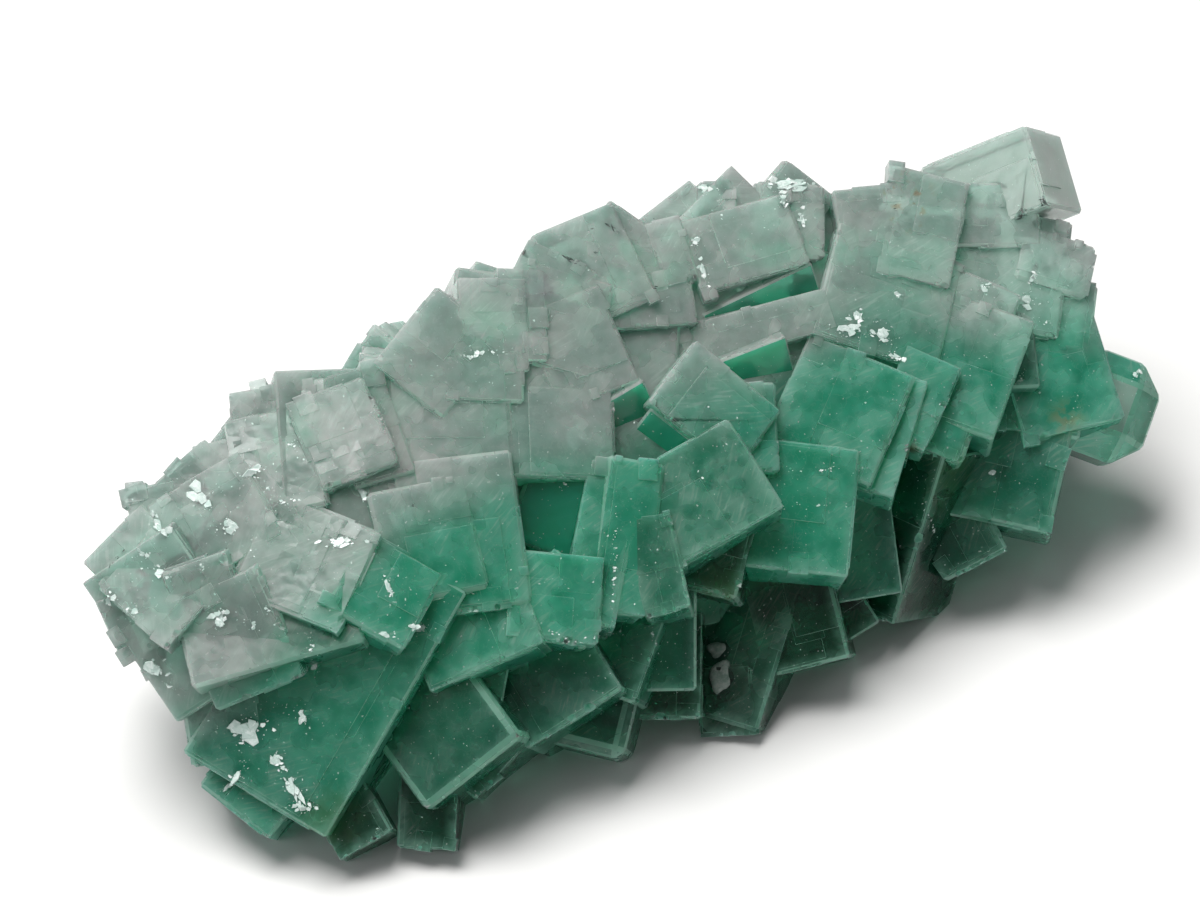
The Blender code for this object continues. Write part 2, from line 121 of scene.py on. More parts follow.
CRYSTALS = [
    # the near end: clear crystals stepping up to the left tip
    ("A1", 82, 562, 0.2, "tl", 47, 18, 5, 8.5, 9.0, 12.0, 0),
    ("A2", 126, 490, 0.3, "tl", 12, 16, -7, 5.0, 8.0, 9.0, 0),
    ("A3", 152, 484, 0.3, "tl", 43, 18, 4, 7.0, 12.0, 12.0, 0),
    ("A4", 177, 723, 0.1, "bl", 34, -2, -12, 11.0, 17.0, 15.0, 0),
    ("A17", 123, 665, -0.1, "bl", 24, -4, -11, 8.0, 7.0, 12.0, 0),
    ("A18", 205, 600, 0.35, "c", 20, -5, -11, 7.0, 8.0, 12.0, 0),
    ("A19", 262, 520, 0.3, "c", 38, 17, 2, 7.0, 9.0, 12.0, 0),
    ("A5", 192, 768, -0.3, "bl", 9, -1, -10, 8.0, 9.0, 10.0, 0),
    ("A6", 192, 446, 0.2, "tl", 11, 19, -3, 6.0, 9.0, 10.0, 0),
    ("A7", 209, 443, 0.0, "tl", 53, 16, 5, 5.0, 9.0, 10.0, 0),
    ("A8", 228, 393, 0.3, "tl", 7, 16, -8, 5.0, 9.0, 12.0, 0),
    ("A9", 251, 387, 0.2, "tl", 6, 18, -5, 7.6, 12.0, 12.0, 0),
    ("A10", 318, 380, 0.0, "tl", 20, 14, 15, 6.5, 12.0, 12.0, 0),
    ("A11", 158, 588, 0.5, "c", 50, 16, 5, 8.0, 9.5, 12.0, 0),
    ("A12", 214, 520, 0.5, "c", 30, 16, -1, 11.0, 10.0, 12.0, 0),
    ("A13", 275, 462, 0.4, "c", 12, 17, -4, 9.0, 11.0, 12.0, 0),
    ("A14", 342, 432, -0.2, "c", 24, 18, 11, 8.5, 10.0, 12.0, 0),
    ("A15", 236, 640, 0.45, "c", 24, -6, -12, 10.0, 12.0, 13.0, 0),
    ("A16", 305, 560, 0.0, "c", -24, 13, -11, 12.0, 11.0, 13.0, 0),
    # the big lower left crystal, its neighbours and the small ones under it
    ("B1", 325, 838, 1.8, "br", -30, -2, -8, 17.0, 28.5, 17.0, 0),
    ("B2", 268, 839, 0.6, "br", -38, 2, -8, 9.0, 10.0, 12.0, 0),
    ("B3", 340, 860, -0.2, "bl", 30, 10, 0, 6.0, 7.0, 9.0, 0),
    ("B4", 425, 812, 1.8, "bl", 37, 13, -7, 12.5, 14.5, 14.0, 0.5),
    ("B5", 475, 800, -1.2, "bl", 48, 8, 0, 9.0, 8.0, 9.0, 0),
    ("B6", 455, 849, 1.0, "br", -2, 6, -6, 6.0, 9.0, 9.0, 0),
    ("B7", 430, 692, 0.0, "bl", 23, 14, -4, 12.6, 13.0, 12.0, 0),
    ("B8", 527, 749, 0.0, "bl", 32, 12, -4, 11.5, 14.0, 13.0, 0),
    ("B9", 622, 760, -0.6, "br", -14, 6, -8, 9.5, 9.0, 10.0, 1.0),
    ("B10", 633, 704, -0.6, "br", -20, 4, -14, 6.0, 11.0, 9.0, 0),
    ("B11", 428, 540, 0.15, "c", 14, 14, 14, 10.0, 12.0, 12.0, 0),
    ("B12", 385, 590, -0.1, "c", -28, 19, 3, 9.0, 9.0, 12.0, 0),
    # the middle column
    ("C1", 532, 603, 1.0, "br", 8, 12, 6, 10.0, 16.0, 14.0, 0),
    ("C2", 583, 650, 1.7, "br", -38, 15, 4, 8.5, 6.5, 11.0, 0),
    ("C3", 613, 628, 1.8, "br", -11, 15, 3, 5.5, 17.0, 12.0, 0),
    ("C4", 645, 617, 1.2, "br", -8, 13, 10, 6.0, 16.0, 13.0, 0),
    ("C5", 645, 617, 1.4, "bl", 13, 12, -2, 4.8, 10.0, 11.0, 0),
    ("C6", 675, 568, 1.9, "bl", 32, 15, 11, 13.0, 11.0, 13.0, 0),
    ("C7", 735, 472, 1.7, "br", -38, 20, 4, 11.5, 8.5, 13.0, 0),
    ("C8", 780, 471, 1.4, "br", 2, 16, 10, 7.0, 9.6, 12.0, 0),
    ("C9", 640, 380, 1.2, "br", 24, 11, 15, 9.0, 11.0, 14.0, 0),
    ("C10", 824, 288, 0.9, "tr", 18, 13, 12, 16.5, 4.4, 12.0, 0),
    ("C11", 512, 490, 0.35, "br", 4, 17, 11, 12.0, 13.0, 16.0, 0),
    ("C12", 616, 480, 1.0, "br", 2, 20, 13, 12.0, 15.0, 12.0, 0),
    ("C13", 512, 548, 0.7, "tl", -4, 12, 9, 9.5, 9.0, 12.0, 0),
    ("C14", 480, 350, 0.4, "c", 2, 17, 12, 9.0, 11.0, 12.0, 0),
    ("C15", 560, 320, 0.5, "c", -14, 19, 7, 9.0, 11.0, 12.0, 0),
    # smooth faces that look down, under the lips of the middle crystals, painted a deeper green as shade
    ("W1", 812, 263, 1.3, "tr", 19, -30, 13, 13.0, 6.0, 9.0, 0),
    ("W2", 786, 336, 1.4, "tr", 15, -28, 13, 15.0, 6.0, 9.0, 0),
    ("W3", 644, 380, 1.6, "tr", 24, -30, 13, 8.5, 4.0, 9.0, 0),
    ("W4", 619, 477, 1.1, "tr", -21, -7, 6, 8.8, 10.0, 9.0, 0),
    ("W5", 735, 474, 1.6, "tr", -38, -30, 0, 11.0, 5.0, 9.0, 0),
    # the right of the lip
    ("D1", 848, 577, 0.6, "br", -6, 13, 3, 13.5, 13.5, 12.0, 0),
    ("D2", 870, 486, 1.6, "br", -24, 17, -5, 12.0, 13.0, 12.0, 0),
    ("D3", 893, 498, 0.8, "br", -18, 15, -5, 8.0, 13.0, 11.0, 0),
    ("D4", 924, 451, 1.2, "br", -25, 17, -4, 6.0, 10.0, 9.0, 0),
    ("D5", 993, 440, 1.4, "br", -21, 17, -6, 8.0, 14.0, 12.0, 0),
    ("D13", 962, 464, 0.0, "br", -20, 15, 0, 6.5, 9.0, 10.0, 0),
    ("D6", 893, 625, -10.5, "br", -16, -15, -32, 8.0, 19.0, 11.0, 0),
    ("D7", 1050, 534, -4.5, "br", -13, 6, -6, 11.5, 12.5, 12.0, 0),
    ("D8", 945, 582, -10.5, "bl", 28, 4, -4, 7.5, 9.0, 9.0, 0),
    ("D9", 1080, 440, -2.0, "br", -8, 12, 3, 11.0, 17.0, 12.0, 0),
    ("D10", 1113, 404, -3.0, "c", -20, 6, 4, 10.2, 11.4, 11.0, 2.8),
    ("D11", 1089, 302, -0.6, "tr", 16, 13, 8, 11.0, 13.0, 11.0, 0),
    ("D12", 968, 330, 0.4, "c", -22, 19, 1, 8.0, 12.0, 11.0, 0),
    # the shaded crystals under the lip
    ("E1", 757, 733, -5.4, "br", 3, 2, -10, 6.0, 7.0, 10.0, 0),
    ("E2", 757, 731, -4.8, "br", -17, 4, -16, 9.0, 14.0, 12.0, 0),
    ("E3", 850, 657, -4.0, "br", 14, 4, -6, 9.0, 12.0, 11.0, 0),
    ("E4", 736, 599, -1.5, "br", -14, 6, -8, 8.0, 9.0, 9.0, 0),
    ("E5", 880, 622, -10.0, "br", 32, 0, -4, 9.0, 9.0, 9.0, 0),
    ("E6", 700, 719, -4.6, "br", -1, 2, -6, 8.0, 11.0, 10.0, 0),
    # the ridge, from the near end to the far end
    ("F1", 437, 285, 0.4, "tl", -38, 21, 0, 9.0, 11.0, 12.0, 0),
    ("F2", 458, 277, 0.3, "tl", 3, 17, 13, 7.0, 10.0, 12.0, 0),
    ("F3", 497, 268, 0.2, "tl", 2, 19, 12, 5.0, 10.0, 10.0, 0),
    ("F4", 530, 236, -0.1, "tl", 26, 10, 16, 9.5, 11.0, 12.0, 0),
    ("F5", 529, 238, 0.2, "tl", -25, 20, 2, 8.0, 7.0, 12.0, 0),
    ("F6", 610, 199, 0.2, "tl", -34, 19, 3, 7.0, 9.0, 12.0, 0),
    ("F7", 645, 224, 0.4, "tl", 17, 12, 17, 4.0, 7.0, 9.0, 0),
    ("F8", 731, 165, 0.3, "tl", -44, 19, 1, 10.0, 9.5, 12.0, 0),
    ("F9", 697, 181, -0.9, "tl", 0, 20, 0, 4.0, 5.0, 9.0, 0),
    ("F10", 784, 158, -1.0, "tl", -37, 18, 2, 7.0, 7.0, 10.0, 0),
    ("F11", 757, 180, 0.3, "tl", 0, 17, 11, 7.2, 8.0, 9.0, 0),
    ("F12", 832, 190, 0.3, "tl", 9, 15, 13, 7.5, 10.0, 10.0, 0),
    ("F13", 812, 332, 0.8, "bl", -15, 21, 10, 14.0, 13.0, 13.0, 0),
    ("F14", 897, 165, 0.8, "tl", -12, 19, 6, 8.0, 12.0, 12.0, 0),
    ("F15", 1024, 125, 4.0, "tr", 15, 12, -28, 13.0, 9.0, 9.2, 0),
    ("F16", 1072, 222, 0.5, "tr", -8, 15, 7, 16.0, 13.0, 12.0, 0),
    ("F17", 1097, 247, 0.6, "tr", -14, 18, 8, 8.0, 6.0, 8.0, 0),
    ("F18", 810, 262, 1.7, "br", 19, 13, 13, 12.0, 8.0, 12.0, 0),
    ("F19", 650, 285, 0.1, "c", 8, 14, 14, 9.0, 9.0, 12.0, 0),
    ("F20", 985, 214, 0.3, "c", 4, 14, 12, 12.0, 7.0, 14.0, 0),
    # the body the crystals stand on
    ("K1", 258, 580, -1.2, "c", 15, 16, -2, 18.0, 18.0, 22.0, 0),
    ("K2", 400, 480, -1.0, "c", 5, 16, 11, 24.0, 24.0, 26.0, 0),
    ("K3", 560, 392, -1.8, "c", -5, 17, 9, 24.0, 24.0, 26.0, 0),
    ("K4", 750, 360, -1.4, "c", 0, 15, 14, 24.0, 25.0, 30.0, 0),
    ("K5", 920, 290, -1.2, "c", 5, 16, 12, 24.0, 22.0, 28.0, 0),
    ("K6", 400, 660, -5.0, "c", -10, 6, 0, 22.0, 18.0, 22.0, 0),
    ("K7", 600, 625, -5.5, "c", 0, -6, 6, 20.0, 14.0, 24.0, 0),
    ("K8", 790, 530, -7.0, "c", 8, -8, 8, 22.0, 17.0, 22.0, 0),
    ("K9", 960, 440, -5.0, "c", -10, 2, 8, 18.0, 16.0, 20.0, 0),
]

BACK_PLACES = [
    (-43, -10, 15), (-34, -6, 20), (-24, -3, 22), (-13, -1, 24), (-2, -1, 25), (9, -2, 25),
    (20, -6, 22), (30, -12, 20), (38, -20, 19),
    (-42, -4, 8), (-32, 2, 12), (-21, 5, 14), (-9, 6, 15), (4, 6, 15), (16, 4, 13),
    (27, -2, 12), (35, -11, 12),
    (-46, -10, 4), (-35, 4, 4), (-24, 8, 5), (-12, 10, 5), (1, 10, 5), (14, 8, 4), (25, 3, 4),
    (33, -8, 4), (36, -19, 7),
    (-52, -15, 11), (-47, -23, 6),
]
BACK_SPIN = 38.0
BACK_LEAN = 13.0
BACK_EDGE = (9.5, 13.0)


# ---------------------------------------------------------------- camera, light and floor

def look_at(obj, target):
    obj.rotation_euler = (Vector(target) - obj.location).to_track_quat("-Z", "Y").to_euler()


scene = bpy.context.scene
camera_data = bpy.data.cameras.new("camera")
camera_data.lens = 150.0
camera_data.sensor_fit = "HORIZONTAL"
camera_data.sensor_width = 36.0
camera_data.clip_start = 0.02
camera_data.clip_end = 20.0
camera = bpy.data.objects.new("camera", camera_data)
scene.collection.objects.link(camera)
EYE = TO_ORIGIN + OUT * SIGHT
camera.location = EYE * MM
camera.rotation_euler = Matrix((RIGHT, UP, OUT)).transposed().to_euler()
scene.camera = camera


def area_light(name, place, target, width, height, power, colour):
    data = bpy.data.lights.new(name, "AREA")
    data.shape = "RECTANGLE"
    data.size, data.size_y = width, height
    data.energy = power
    data.color = colour
    lamp = bpy.data.objects.new(name, data)
    lamp.location = place
    scene.collection.objects.link(lamp)
    look_at(lamp, target)
    return lamp


area_light("overhead", (-0.14, 0.28, 0.92), (0, 0, 0.02), 0.70, 0.60, 15.3, (1.0, 0.99, 0.975))
area_light("left", (-0.85, -0.10, 0.40), (0, 0, 0.02), 0.50, 0.50, 1.5, (0.97, 0.985, 1.0))

world = bpy.data.worlds.new("studio")
world.use_nodes = True
world.node_tree.nodes["Background"].inputs["Color"].default_value = (0.93, 0.95, 0.96, 1.0)
world.node_tree.nodes["Background"].inputs["Strength"].default_value = 0.20
scene.world = world
scene.view_settings.view_transform = "Standard"
scene.cycles.max_bounces = 5
scene.cycles.transmission_bounces = 4
scene.cycles.diffuse_bounces = 1
scene.cycles.glossy_bounces = 1
scene.cycles.transparent_max_bounces = 4
scene.cycles.sample_clamp_indirect = 4.0


# ---------------------------------------------------------------- shader graphs

class Graph:
    """A material's node tree, with one call for each kind of node used here."""

    def __init__(self, name):
        self.material = bpy.data.materials.new(name)
        self.material.use_nodes = True
        self.tree = self.material.node_tree
        self.shader = self.tree.nodes["Principled BSDF"]

    def link(self, value, socket):
        if isinstance(value, bpy.types.NodeSocket):
            self.tree.links.new(value, socket)
        else:
            socket.default_value = value

    def node(self, kind, **settings):
        made = self.tree.nodes.new(kind)
        for key, value in settings.items():
            setattr(made, key, value)
        return made

    def place(self):
        """Where on the cluster, in millimetres, in the row's frame."""
        coordinates = self.node("ShaderNodeTexCoord")
        return self.scaled(coordinates.outputs["Object"], 1000.0)

    def scaled(self, vector, scale):
        made = self.node("ShaderNodeVectorMath", operation="SCALE")
        self.link(vector, made.inputs[0])
        self.link(scale, made.inputs["Scale"])
        return made.outputs["Vector"]

    def moved(self, vector, by):
        made = self.node("ShaderNodeVectorMath", operation="ADD")
        self.link(vector, made.inputs[0])
        self.link(by, made.inputs[1])
        return made.outputs["Vector"]

    def stretched(self, vector, by):
        made = self.node("ShaderNodeVectorMath", operation="MULTIPLY")
        self.link(vector, made.inputs[0])
        self.link(by, made.inputs[1])
        return made.outputs["Vector"]

    def along(self, vector, axis):
        made = self.node("ShaderNodeVectorMath", operation="DOT_PRODUCT")
        self.link(vector, made.inputs[0])
        self.link(tuple(axis), made.inputs[1])
        return made.outputs["Value"]

    def distance(self, vector, centre):
        made = self.node("ShaderNodeVectorMath", operation="DISTANCE")
        self.link(vector, made.inputs[0])
        self.link(tuple(centre), made.inputs[1])
        return made.outputs["Value"]

    def math(self, operation, a, b=0.0, clamp=False):
        made = self.node("ShaderNodeMath", operation=operation, use_clamp=clamp)
        self.link(a, made.inputs[0])
        self.link(b, made.inputs[1])
        return made.outputs["Value"]

    def ramp(self, value, low, high, to_low=0.0, to_high=1.0, smooth=True):
        made = self.node(
            "ShaderNodeMapRange", interpolation_type="SMOOTHSTEP" if smooth else "LINEAR"
        )
        self.link(value, made.inputs["Value"])
        self.link(low, made.inputs["From Min"])
        self.link(high, made.inputs["From Max"])
        self.link(to_low, made.inputs["To Min"])
        self.link(to_high, made.inputs["To Max"])
        return made.outputs["Result"]

    def noise(self, vector, size, detail=3.0, roughness=0.55, distortion=0.0):
        """Noise whose features are about size millimetres wide, from about 0.2 to 0.8."""
        made = self.node("ShaderNodeTexNoise")
        self.link(vector, made.inputs["Vector"])
        made.inputs["Scale"].default_value = 1.0 / size
        made.inputs["Detail"].default_value = detail
        made.inputs["Roughness"].default_value = roughness
        made.inputs["Distortion"].default_value = distortion
        return made.outputs["Fac"]

    def cells(self, vector, size, feature="F1", output="Distance"):
        made = self.node("ShaderNodeTexVoronoi", feature=feature)
        self.link(vector, made.inputs["Vector"])
        made.inputs["Scale"].default_value = 1.0 / size
        return made.outputs[output]

    def mix(self, factor, a, b, blend="MIX"):
        made = self.node("ShaderNodeMix", data_type="RGBA", blend_type=blend)
        self.link(factor, made.inputs[0])
        self.link(a if isinstance(a, bpy.types.NodeSocket) else (*a, 1.0), made.inputs[6])
        self.link(b if isinstance(b, bpy.types.NodeSocket) else (*b, 1.0), made.inputs[7])
        return made.outputs[2]

    def own(self, name):
        """A number that each crystal carries on its faces."""
        made = self.node("ShaderNodeAttribute", attribute_name=name)
        return made.outputs["Fac"]

    def own_vector(self, name):
        made = self.node("ShaderNodeAttribute", attribute_name=name)
        return made.outputs["Vector"]

    def parts(self, vector):
        made = self.node("ShaderNodeSeparateXYZ")
        self.link(vector, made.inputs[0])
        return made.outputs["X"], made.outputs["Y"], made.outputs["Z"]

    def vector(self, operation, a, b=None):
        made = self.node("ShaderNodeVectorMath", operation=operation)
        self.link(a, made.inputs[0])
        if b is not None:
            self.link(b, made.inputs[1])
        return made.outputs["Vector"]

    def curve(self, value, points):
        """A curve through points, both ways from 0 to 1."""
        made = self.node("ShaderNodeFloatCurve")
        line = made.mapping.curves[0]
        while len(line.points) > 2:
            line.points.remove(line.points[1])
        line.points[0].location, line.points[-1].location = points[0], points[-1]
        for point in points[1:-1]:
            line.points.new(*point)
        made.mapping.update()
        self.link(value, made.inputs["Value"])
        return made.outputs["Value"]

    def bump(self, *layers):
        """Layers of (height from 0 to 1, height in millimetres), on top of one another."""
        normal = None
        for height, depth in layers:
            made = self.node("ShaderNodeBump")
            made.inputs["Strength"].default_value = 1.0
            made.inputs["Distance"].default_value = depth * MM
            self.link(height, made.inputs["Height"])
            if normal is not None:
                self.link(normal, made.inputs["Normal"])
            normal = made.outputs["Normal"]
        self.link(normal, self.shader.inputs["Normal"])


def growth_surface(x, y):
    """Height of the growth surface above the drawing plane at a point of the drawing."""
    right, up = (x - MIDDLE[0]) * STEP, (MIDDLE[1] - y) * STEP
    height = LIP_HEIGHT - FALL_RIGHT * (max(right, LEVEL_FROM[1]) - LEVEL_FROM[0])
    height -= FALL_NEAR_END * max(LEVEL_FROM[1] - right, 0.0)
    if up > LIP_UP:
        return height - FALL_ABOVE * (up - LIP_UP)
    return height + FALL_BELOW * (up - LIP_UP)


def on_face(x, y, proud):
    """A point of the drawing standing proud of the growth surface, as a place in metres."""
    h = growth_surface(x, y) + proud
    shrink = STEP * (SIGHT - h) / SIGHT
    right, up = (x - MIDDLE[0]) * shrink, (MIDDLE[1] - y) * shrink
    return (RIGHT * right + UP * up + OUT * h + TO_ORIGIN) * MM


# ---------------------------------------------------------------- materials

# Where the clear crystal gives way to green, from the near end to the far end of the drawing.
COLOUR_LINE = [
    (60, 800), (150, 735), (215, 690), (300, 610), (345, 560), (450, 475), (520, 450), (600, 428),
    (700, 397), (780, 362), (870, 322), (1000, 308), (1080, 296), (1160, 275),
]

CLEAR = (0.37, 0.47, 0.435)
CLEAR_WARM = (0.57, 0.61, 0.59)
MINT = (0.088, 0.43, 0.302)
GREEN = (0.021, 0.31, 0.192)
SHADED_GREEN = (0.003, 0.055, 0.027)
# Pale edge colours: frosted wear and painted glow of light through the thin edges.
PALE_RIM_WEAR_AND_GLOW = (0.30, 0.58, 0.46)
PALE_CLEAR_WEAR_AND_GLOW = (0.58, 0.66, 0.62)
WINDOW_SHADE_GREEN = (0.03, 0.42, 0.26)
TAN = (0.36, 0.24, 0.11)
OLIVE = (0.09, 0.19, 0.055)
LILAC = (0.30, 0.27, 0.31)
SEE_THROUGH = (0.52, 0.60, 0.56)


def colour_zone(g, where):
    """0 in the clear crystal and 1 in the green; how light it is, darker towards the near end as painted
    shade; and the noise that moves the line.
    """
    seen = [on_face(x, y, 0.0) / MM - TO_ORIGIN for x, y in COLOUR_LINE]
    low, high = -56.0, 56.0
    bottom, top = -36.0, 24.0
    points = [
        ((RIGHT.dot(p) - low) / (high - low), (UP.dot(p) - bottom) / (top - bottom)) for p in seen
    ]
    drawn = g.moved(where, tuple(-TO_ORIGIN))
    across = g.ramp(g.along(drawn, RIGHT), low, high, smooth=False)
    line = g.ramp(g.curve(across, points), 0.0, 1.0, bottom, top, smooth=False)
    drift = g.noise(where, 9.0, 2.0)
    wander = g.math("MULTIPLY", g.math("SUBTRACT", drift, 0.5), 10.0)
    own = g.math("MULTIPLY", g.math("SUBTRACT", g.own("own"), 0.5), 2.0)
    below = g.math("SUBTRACT", line, g.along(drawn, UP))
    below = g.math("ADD", g.math("ADD", below, wander), own)
    front = g.ramp(below, -3.0, 5.5)
    # Painted shade: the near end is darkened, down to 0.84.
    tip = g.ramp(across, 0.10, 0.34, 0.84, 1.0)
    # Behind the ridge the green lies low on the cluster.
    behind = g.ramp(g.along(where, (0.0, 1.0, 0.0)), -2.0, 6.0)
    height = g.math("ADD", g.along(where, (0.0, 0.0, 1.0)), g.math("MULTIPLY", wander, 0.8))
    low_down = g.math("MULTIPLY", behind, g.ramp(height, 24.0, 13.0))
    return g.math("MAXIMUM", front, low_down), tip, drift


def crystal_colour(g, where):
    """Clear to green with cloudy patches; each crystal's painted shade darkens the green towards a shaded
    green.
    """
    zone, tip, drift = colour_zone(g, where)
    cloud = g.noise(where, 4.5, 2.0, 0.6)
    clear = g.mix(g.ramp(cloud, 0.35, 0.68), CLEAR, CLEAR_WARM)
    clear = g.mix(g.ramp(drift, 0.44, 0.70, 0.0, 0.34), clear, MINT)
    green = g.mix(g.ramp(cloud, 0.30, 0.62), GREEN, MINT)
    # Painted shade: crystals low down and under the lip are darkened towards a shaded green.
    green = g.mix(g.own("deep"), green, SHADED_GREEN)
    colour = g.mix(zone, clear, green)
    # Cleavage seen inside: fine streaks along an octahedral plane, and wandering wisps.
    local = g.own_vector("local")
    inside = g.math("SUBTRACT", 1.0, g.math("MULTIPLY", zone, 0.50))
    # The streaks and wisps are fainter where shade is painted in.
    inside = g.math("MULTIPLY", inside, g.math("SUBTRACT", 1.0, g.math("MULTIPLY", g.own("deep"), 0.6)))
    plane = (-0.58, 0.58, 0.58)
    along = g.scaled(plane, g.math("MULTIPLY", g.along(local, plane), 9.0))
    streak = g.noise(g.vector("ADD", local, along), 2.4, 1.0, 0.6)
    here = g.ramp(cloud, 0.46, 0.62)
    lit = g.math("MULTIPLY", g.math("MULTIPLY", g.ramp(streak, 0.52, 0.70), here), inside)
    colour = g.mix(g.math("MULTIPLY", lit, 0.42), colour, (0.70, 0.79, 0.75))
    uneven = g.noise(where, 1.2, 3.0, 0.6)
    wisp = g.ramp(g.math("ABSOLUTE", g.math("SUBTRACT", uneven, 0.5)), 0.03, 0.0)
    colour = g.mix(g.math("MULTIPLY", g.math("MULTIPLY", wisp, inside), 0.14), colour,
                   (0.62, 0.74, 0.69))
    tone = g.math("ADD", g.ramp(g.own("own"), 0.0, 1.0, 0.93, 1.05, smooth=False),
                  g.ramp(uneven, 0.3, 0.7, -0.08, 0.08, smooth=False))
    # The near end's painted shade darkens the whole colour here.
    tone = g.math("MULTIPLY", tone, tip)
    shade = g.node("ShaderNodeCombineColor")
    for channel in range(3):
        g.link(tone, shade.inputs[channel])
    return g.mix(1.0, colour, shade.outputs[0], "MULTIPLY"), zone, cloud, uneven


def absorb(g, colour, density):
    inside = g.node("ShaderNodeVolumeAbsorption")
    inside.inputs["Color"].default_value = (*colour, 1.0)
    inside.inputs["Density"].default_value = density
    output = next(n for n in g.tree.nodes if n.type == "OUTPUT_MATERIAL")
    g.tree.links.new(inside.outputs["Volume"], output.inputs["Volume"])


def specks(g, where, size, least):
    """1 on sparse, very fine specks."""
    return g.ramp(g.noise(where, size, 0.0), least, least + 0.04)


def from_edges(g):
    """How far into a crystal's face a point is from the face's nearest edge, in millimetres."""
    inside = g.vector("SUBTRACT", g.own_vector("half"), g.vector("ABSOLUTE", g.own_vector("local")))
    a, b, c = g.parts(inside)
    return g.math("MAXIMUM", g.math("MINIMUM", a, b), g.math("MINIMUM", g.math("MAXIMUM", a, b), c))


def near(g, where, rough, x, y, far, strength):
    """strength at a point of the drawing, down to 0 at far millimetres, with an uneven edge."""
    spread = g.math("ADD", g.distance(where, on_face(x, y, 0.0) / MM),
                    g.math("MULTIPLY", rough, 0.8 * far))
    return g.ramp(spread, far, 0.15 * far, 0.0, strength)


def crystal_material(name, transmission, rough, smooth):
    """One material for the whole skin, so that light goes in and out through the same body.

    Faces carry rim (pale: frosted wear and painted glow), window (smooth, painted a deeper green as shade)
    and clear (smooth, colourless).
    """
    g = Graph(name)
    where = g.place()
    colour, zone, cloud, uneven = crystal_colour(g, where)
    edge = from_edges(g)
    local = g.own_vector("local")
    rim, window, clear = g.own("rim"), g.own("window"), g.own("clear")
    # Painted shade: faces that look down get a deeper, saturated green in place of the sheen they miss.
    colour = g.mix(g.math("MULTIPLY", window, 0.92), colour, WINDOW_SHADE_GREEN)
    colour = g.mix(g.math("MULTIPLY", clear, 0.75), colour, SEE_THROUGH)
    # The thin edges are paler than the middle, the lower ones most: partly frosted wear, partly painted glow
    # of light coming through the thin edges.
    low_x, low_y, _ = g.parts(local)
    facing = g.ramp(low_y, 4.0, -4.0, 0.35, 1.0)
    ragged = g.ramp(uneven, 0.3, 0.7, 0.35, 1.0)
    wear_and_glow = g.math("MULTIPLY", g.math("MULTIPLY", g.ramp(edge, 1.5, 0.0), facing), ragged)
    wear_and_glow = g.math("MULTIPLY", wear_and_glow, g.math("SUBTRACT", 0.55, g.math("MULTIPLY", window, 0.40)))
    colour = g.mix(wear_and_glow, colour, g.mix(zone, PALE_CLEAR_WEAR_AND_GLOW, PALE_RIM_WEAR_AND_GLOW))
    # The bevelled rims and chips are painted paler too: wear and painted glow.
    colour = g.mix(g.math("MULTIPLY", rim, 0.6), colour, g.mix(zone, PALE_CLEAR_WEAR_AND_GLOW, PALE_RIM_WEAR_AND_GLOW))
    # A tan stain at the far end and a few tan dots under the ridge.
    stain = g.distance(where, on_face(1068, 416, 0.0) / MM)
    stain = g.math("MULTIPLY", g.ramp(stain, 3.4, 0.4), g.ramp(uneven, 0.40, 0.62))
    dots = g.distance(where, on_face(905, 205, 0.0) / MM)
    dots = g.math("MULTIPLY", g.ramp(dots, 4.6, 1.0), g.ramp(uneven, 0.54, 0.68))
    colour = g.mix(g.math("MULTIPLY", g.math("MAXIMUM", stain, dots), 0.7), colour, TAN)
    rough_edge = g.math("SUBTRACT", uneven, 0.5)
    for x, y, far, strength in ((985, 490, 7.0, 0.55), (722, 592, 4.5, 0.5), (330, 818, 4.5, 0.45)):
        colour = g.mix(near(g, where, rough_edge, x, y, far, strength), colour, OLIVE)
    colour = g.mix(near(g, where, rough_edge, 908, 451, 1.7, 0.85), colour, (0.10, 0.065, 0.02))
    colour = g.mix(near(g, where, rough_edge, 536, 289, 2.6, 0.65), colour, LILAC)
    # Fine whitish specks scattered over the faces.
    fine_specks = specks(g, where, 0.24, 0.80)
    colour = g.mix(g.math("MULTIPLY", fine_specks, 0.75), colour, (0.82, 0.86, 0.84))
    g.link(colour, g.shader.inputs["Base Color"])
    patches = g.ramp(cloud, 0.34, 0.66)
    roughness = g.math("ADD", g.math("MULTIPLY", patches, rough[1] - rough[0]), rough[0])
    roughness = g.math("ADD", roughness, g.math("MULTIPLY", rim, 0.06))
    polish = g.math("MULTIPLY", g.math("MAXIMUM", window, clear), smooth)
    roughness = g.math("MULTIPLY", roughness, g.math("SUBTRACT", 1.0, polish))
    g.link(roughness, g.shader.inputs["Roughness"])
    g.shader.inputs["IOR"].default_value = 1.434
    g.shader.inputs["Transmission Weight"].default_value = transmission
    g.shader.inputs["Subsurface Weight"].default_value = 1.0
    g.shader.inputs["Subsurface Radius"].default_value = (0.7, 1.0, 0.9)
    g.shader.inputs["Subsurface Scale"].default_value = 0.005
    swell = g.noise(g.moved(where, (0.0, 30.0, 0.0)), 1.9, 1.5, 0.5)
    g.bump((swell, 0.08))
    absorb(g, (0.42, 0.90, 0.72), 38.0)
    return g.material


crystal_look = crystal_material("satin_crystal", 0.55, (0.16, 0.36), 0.6)


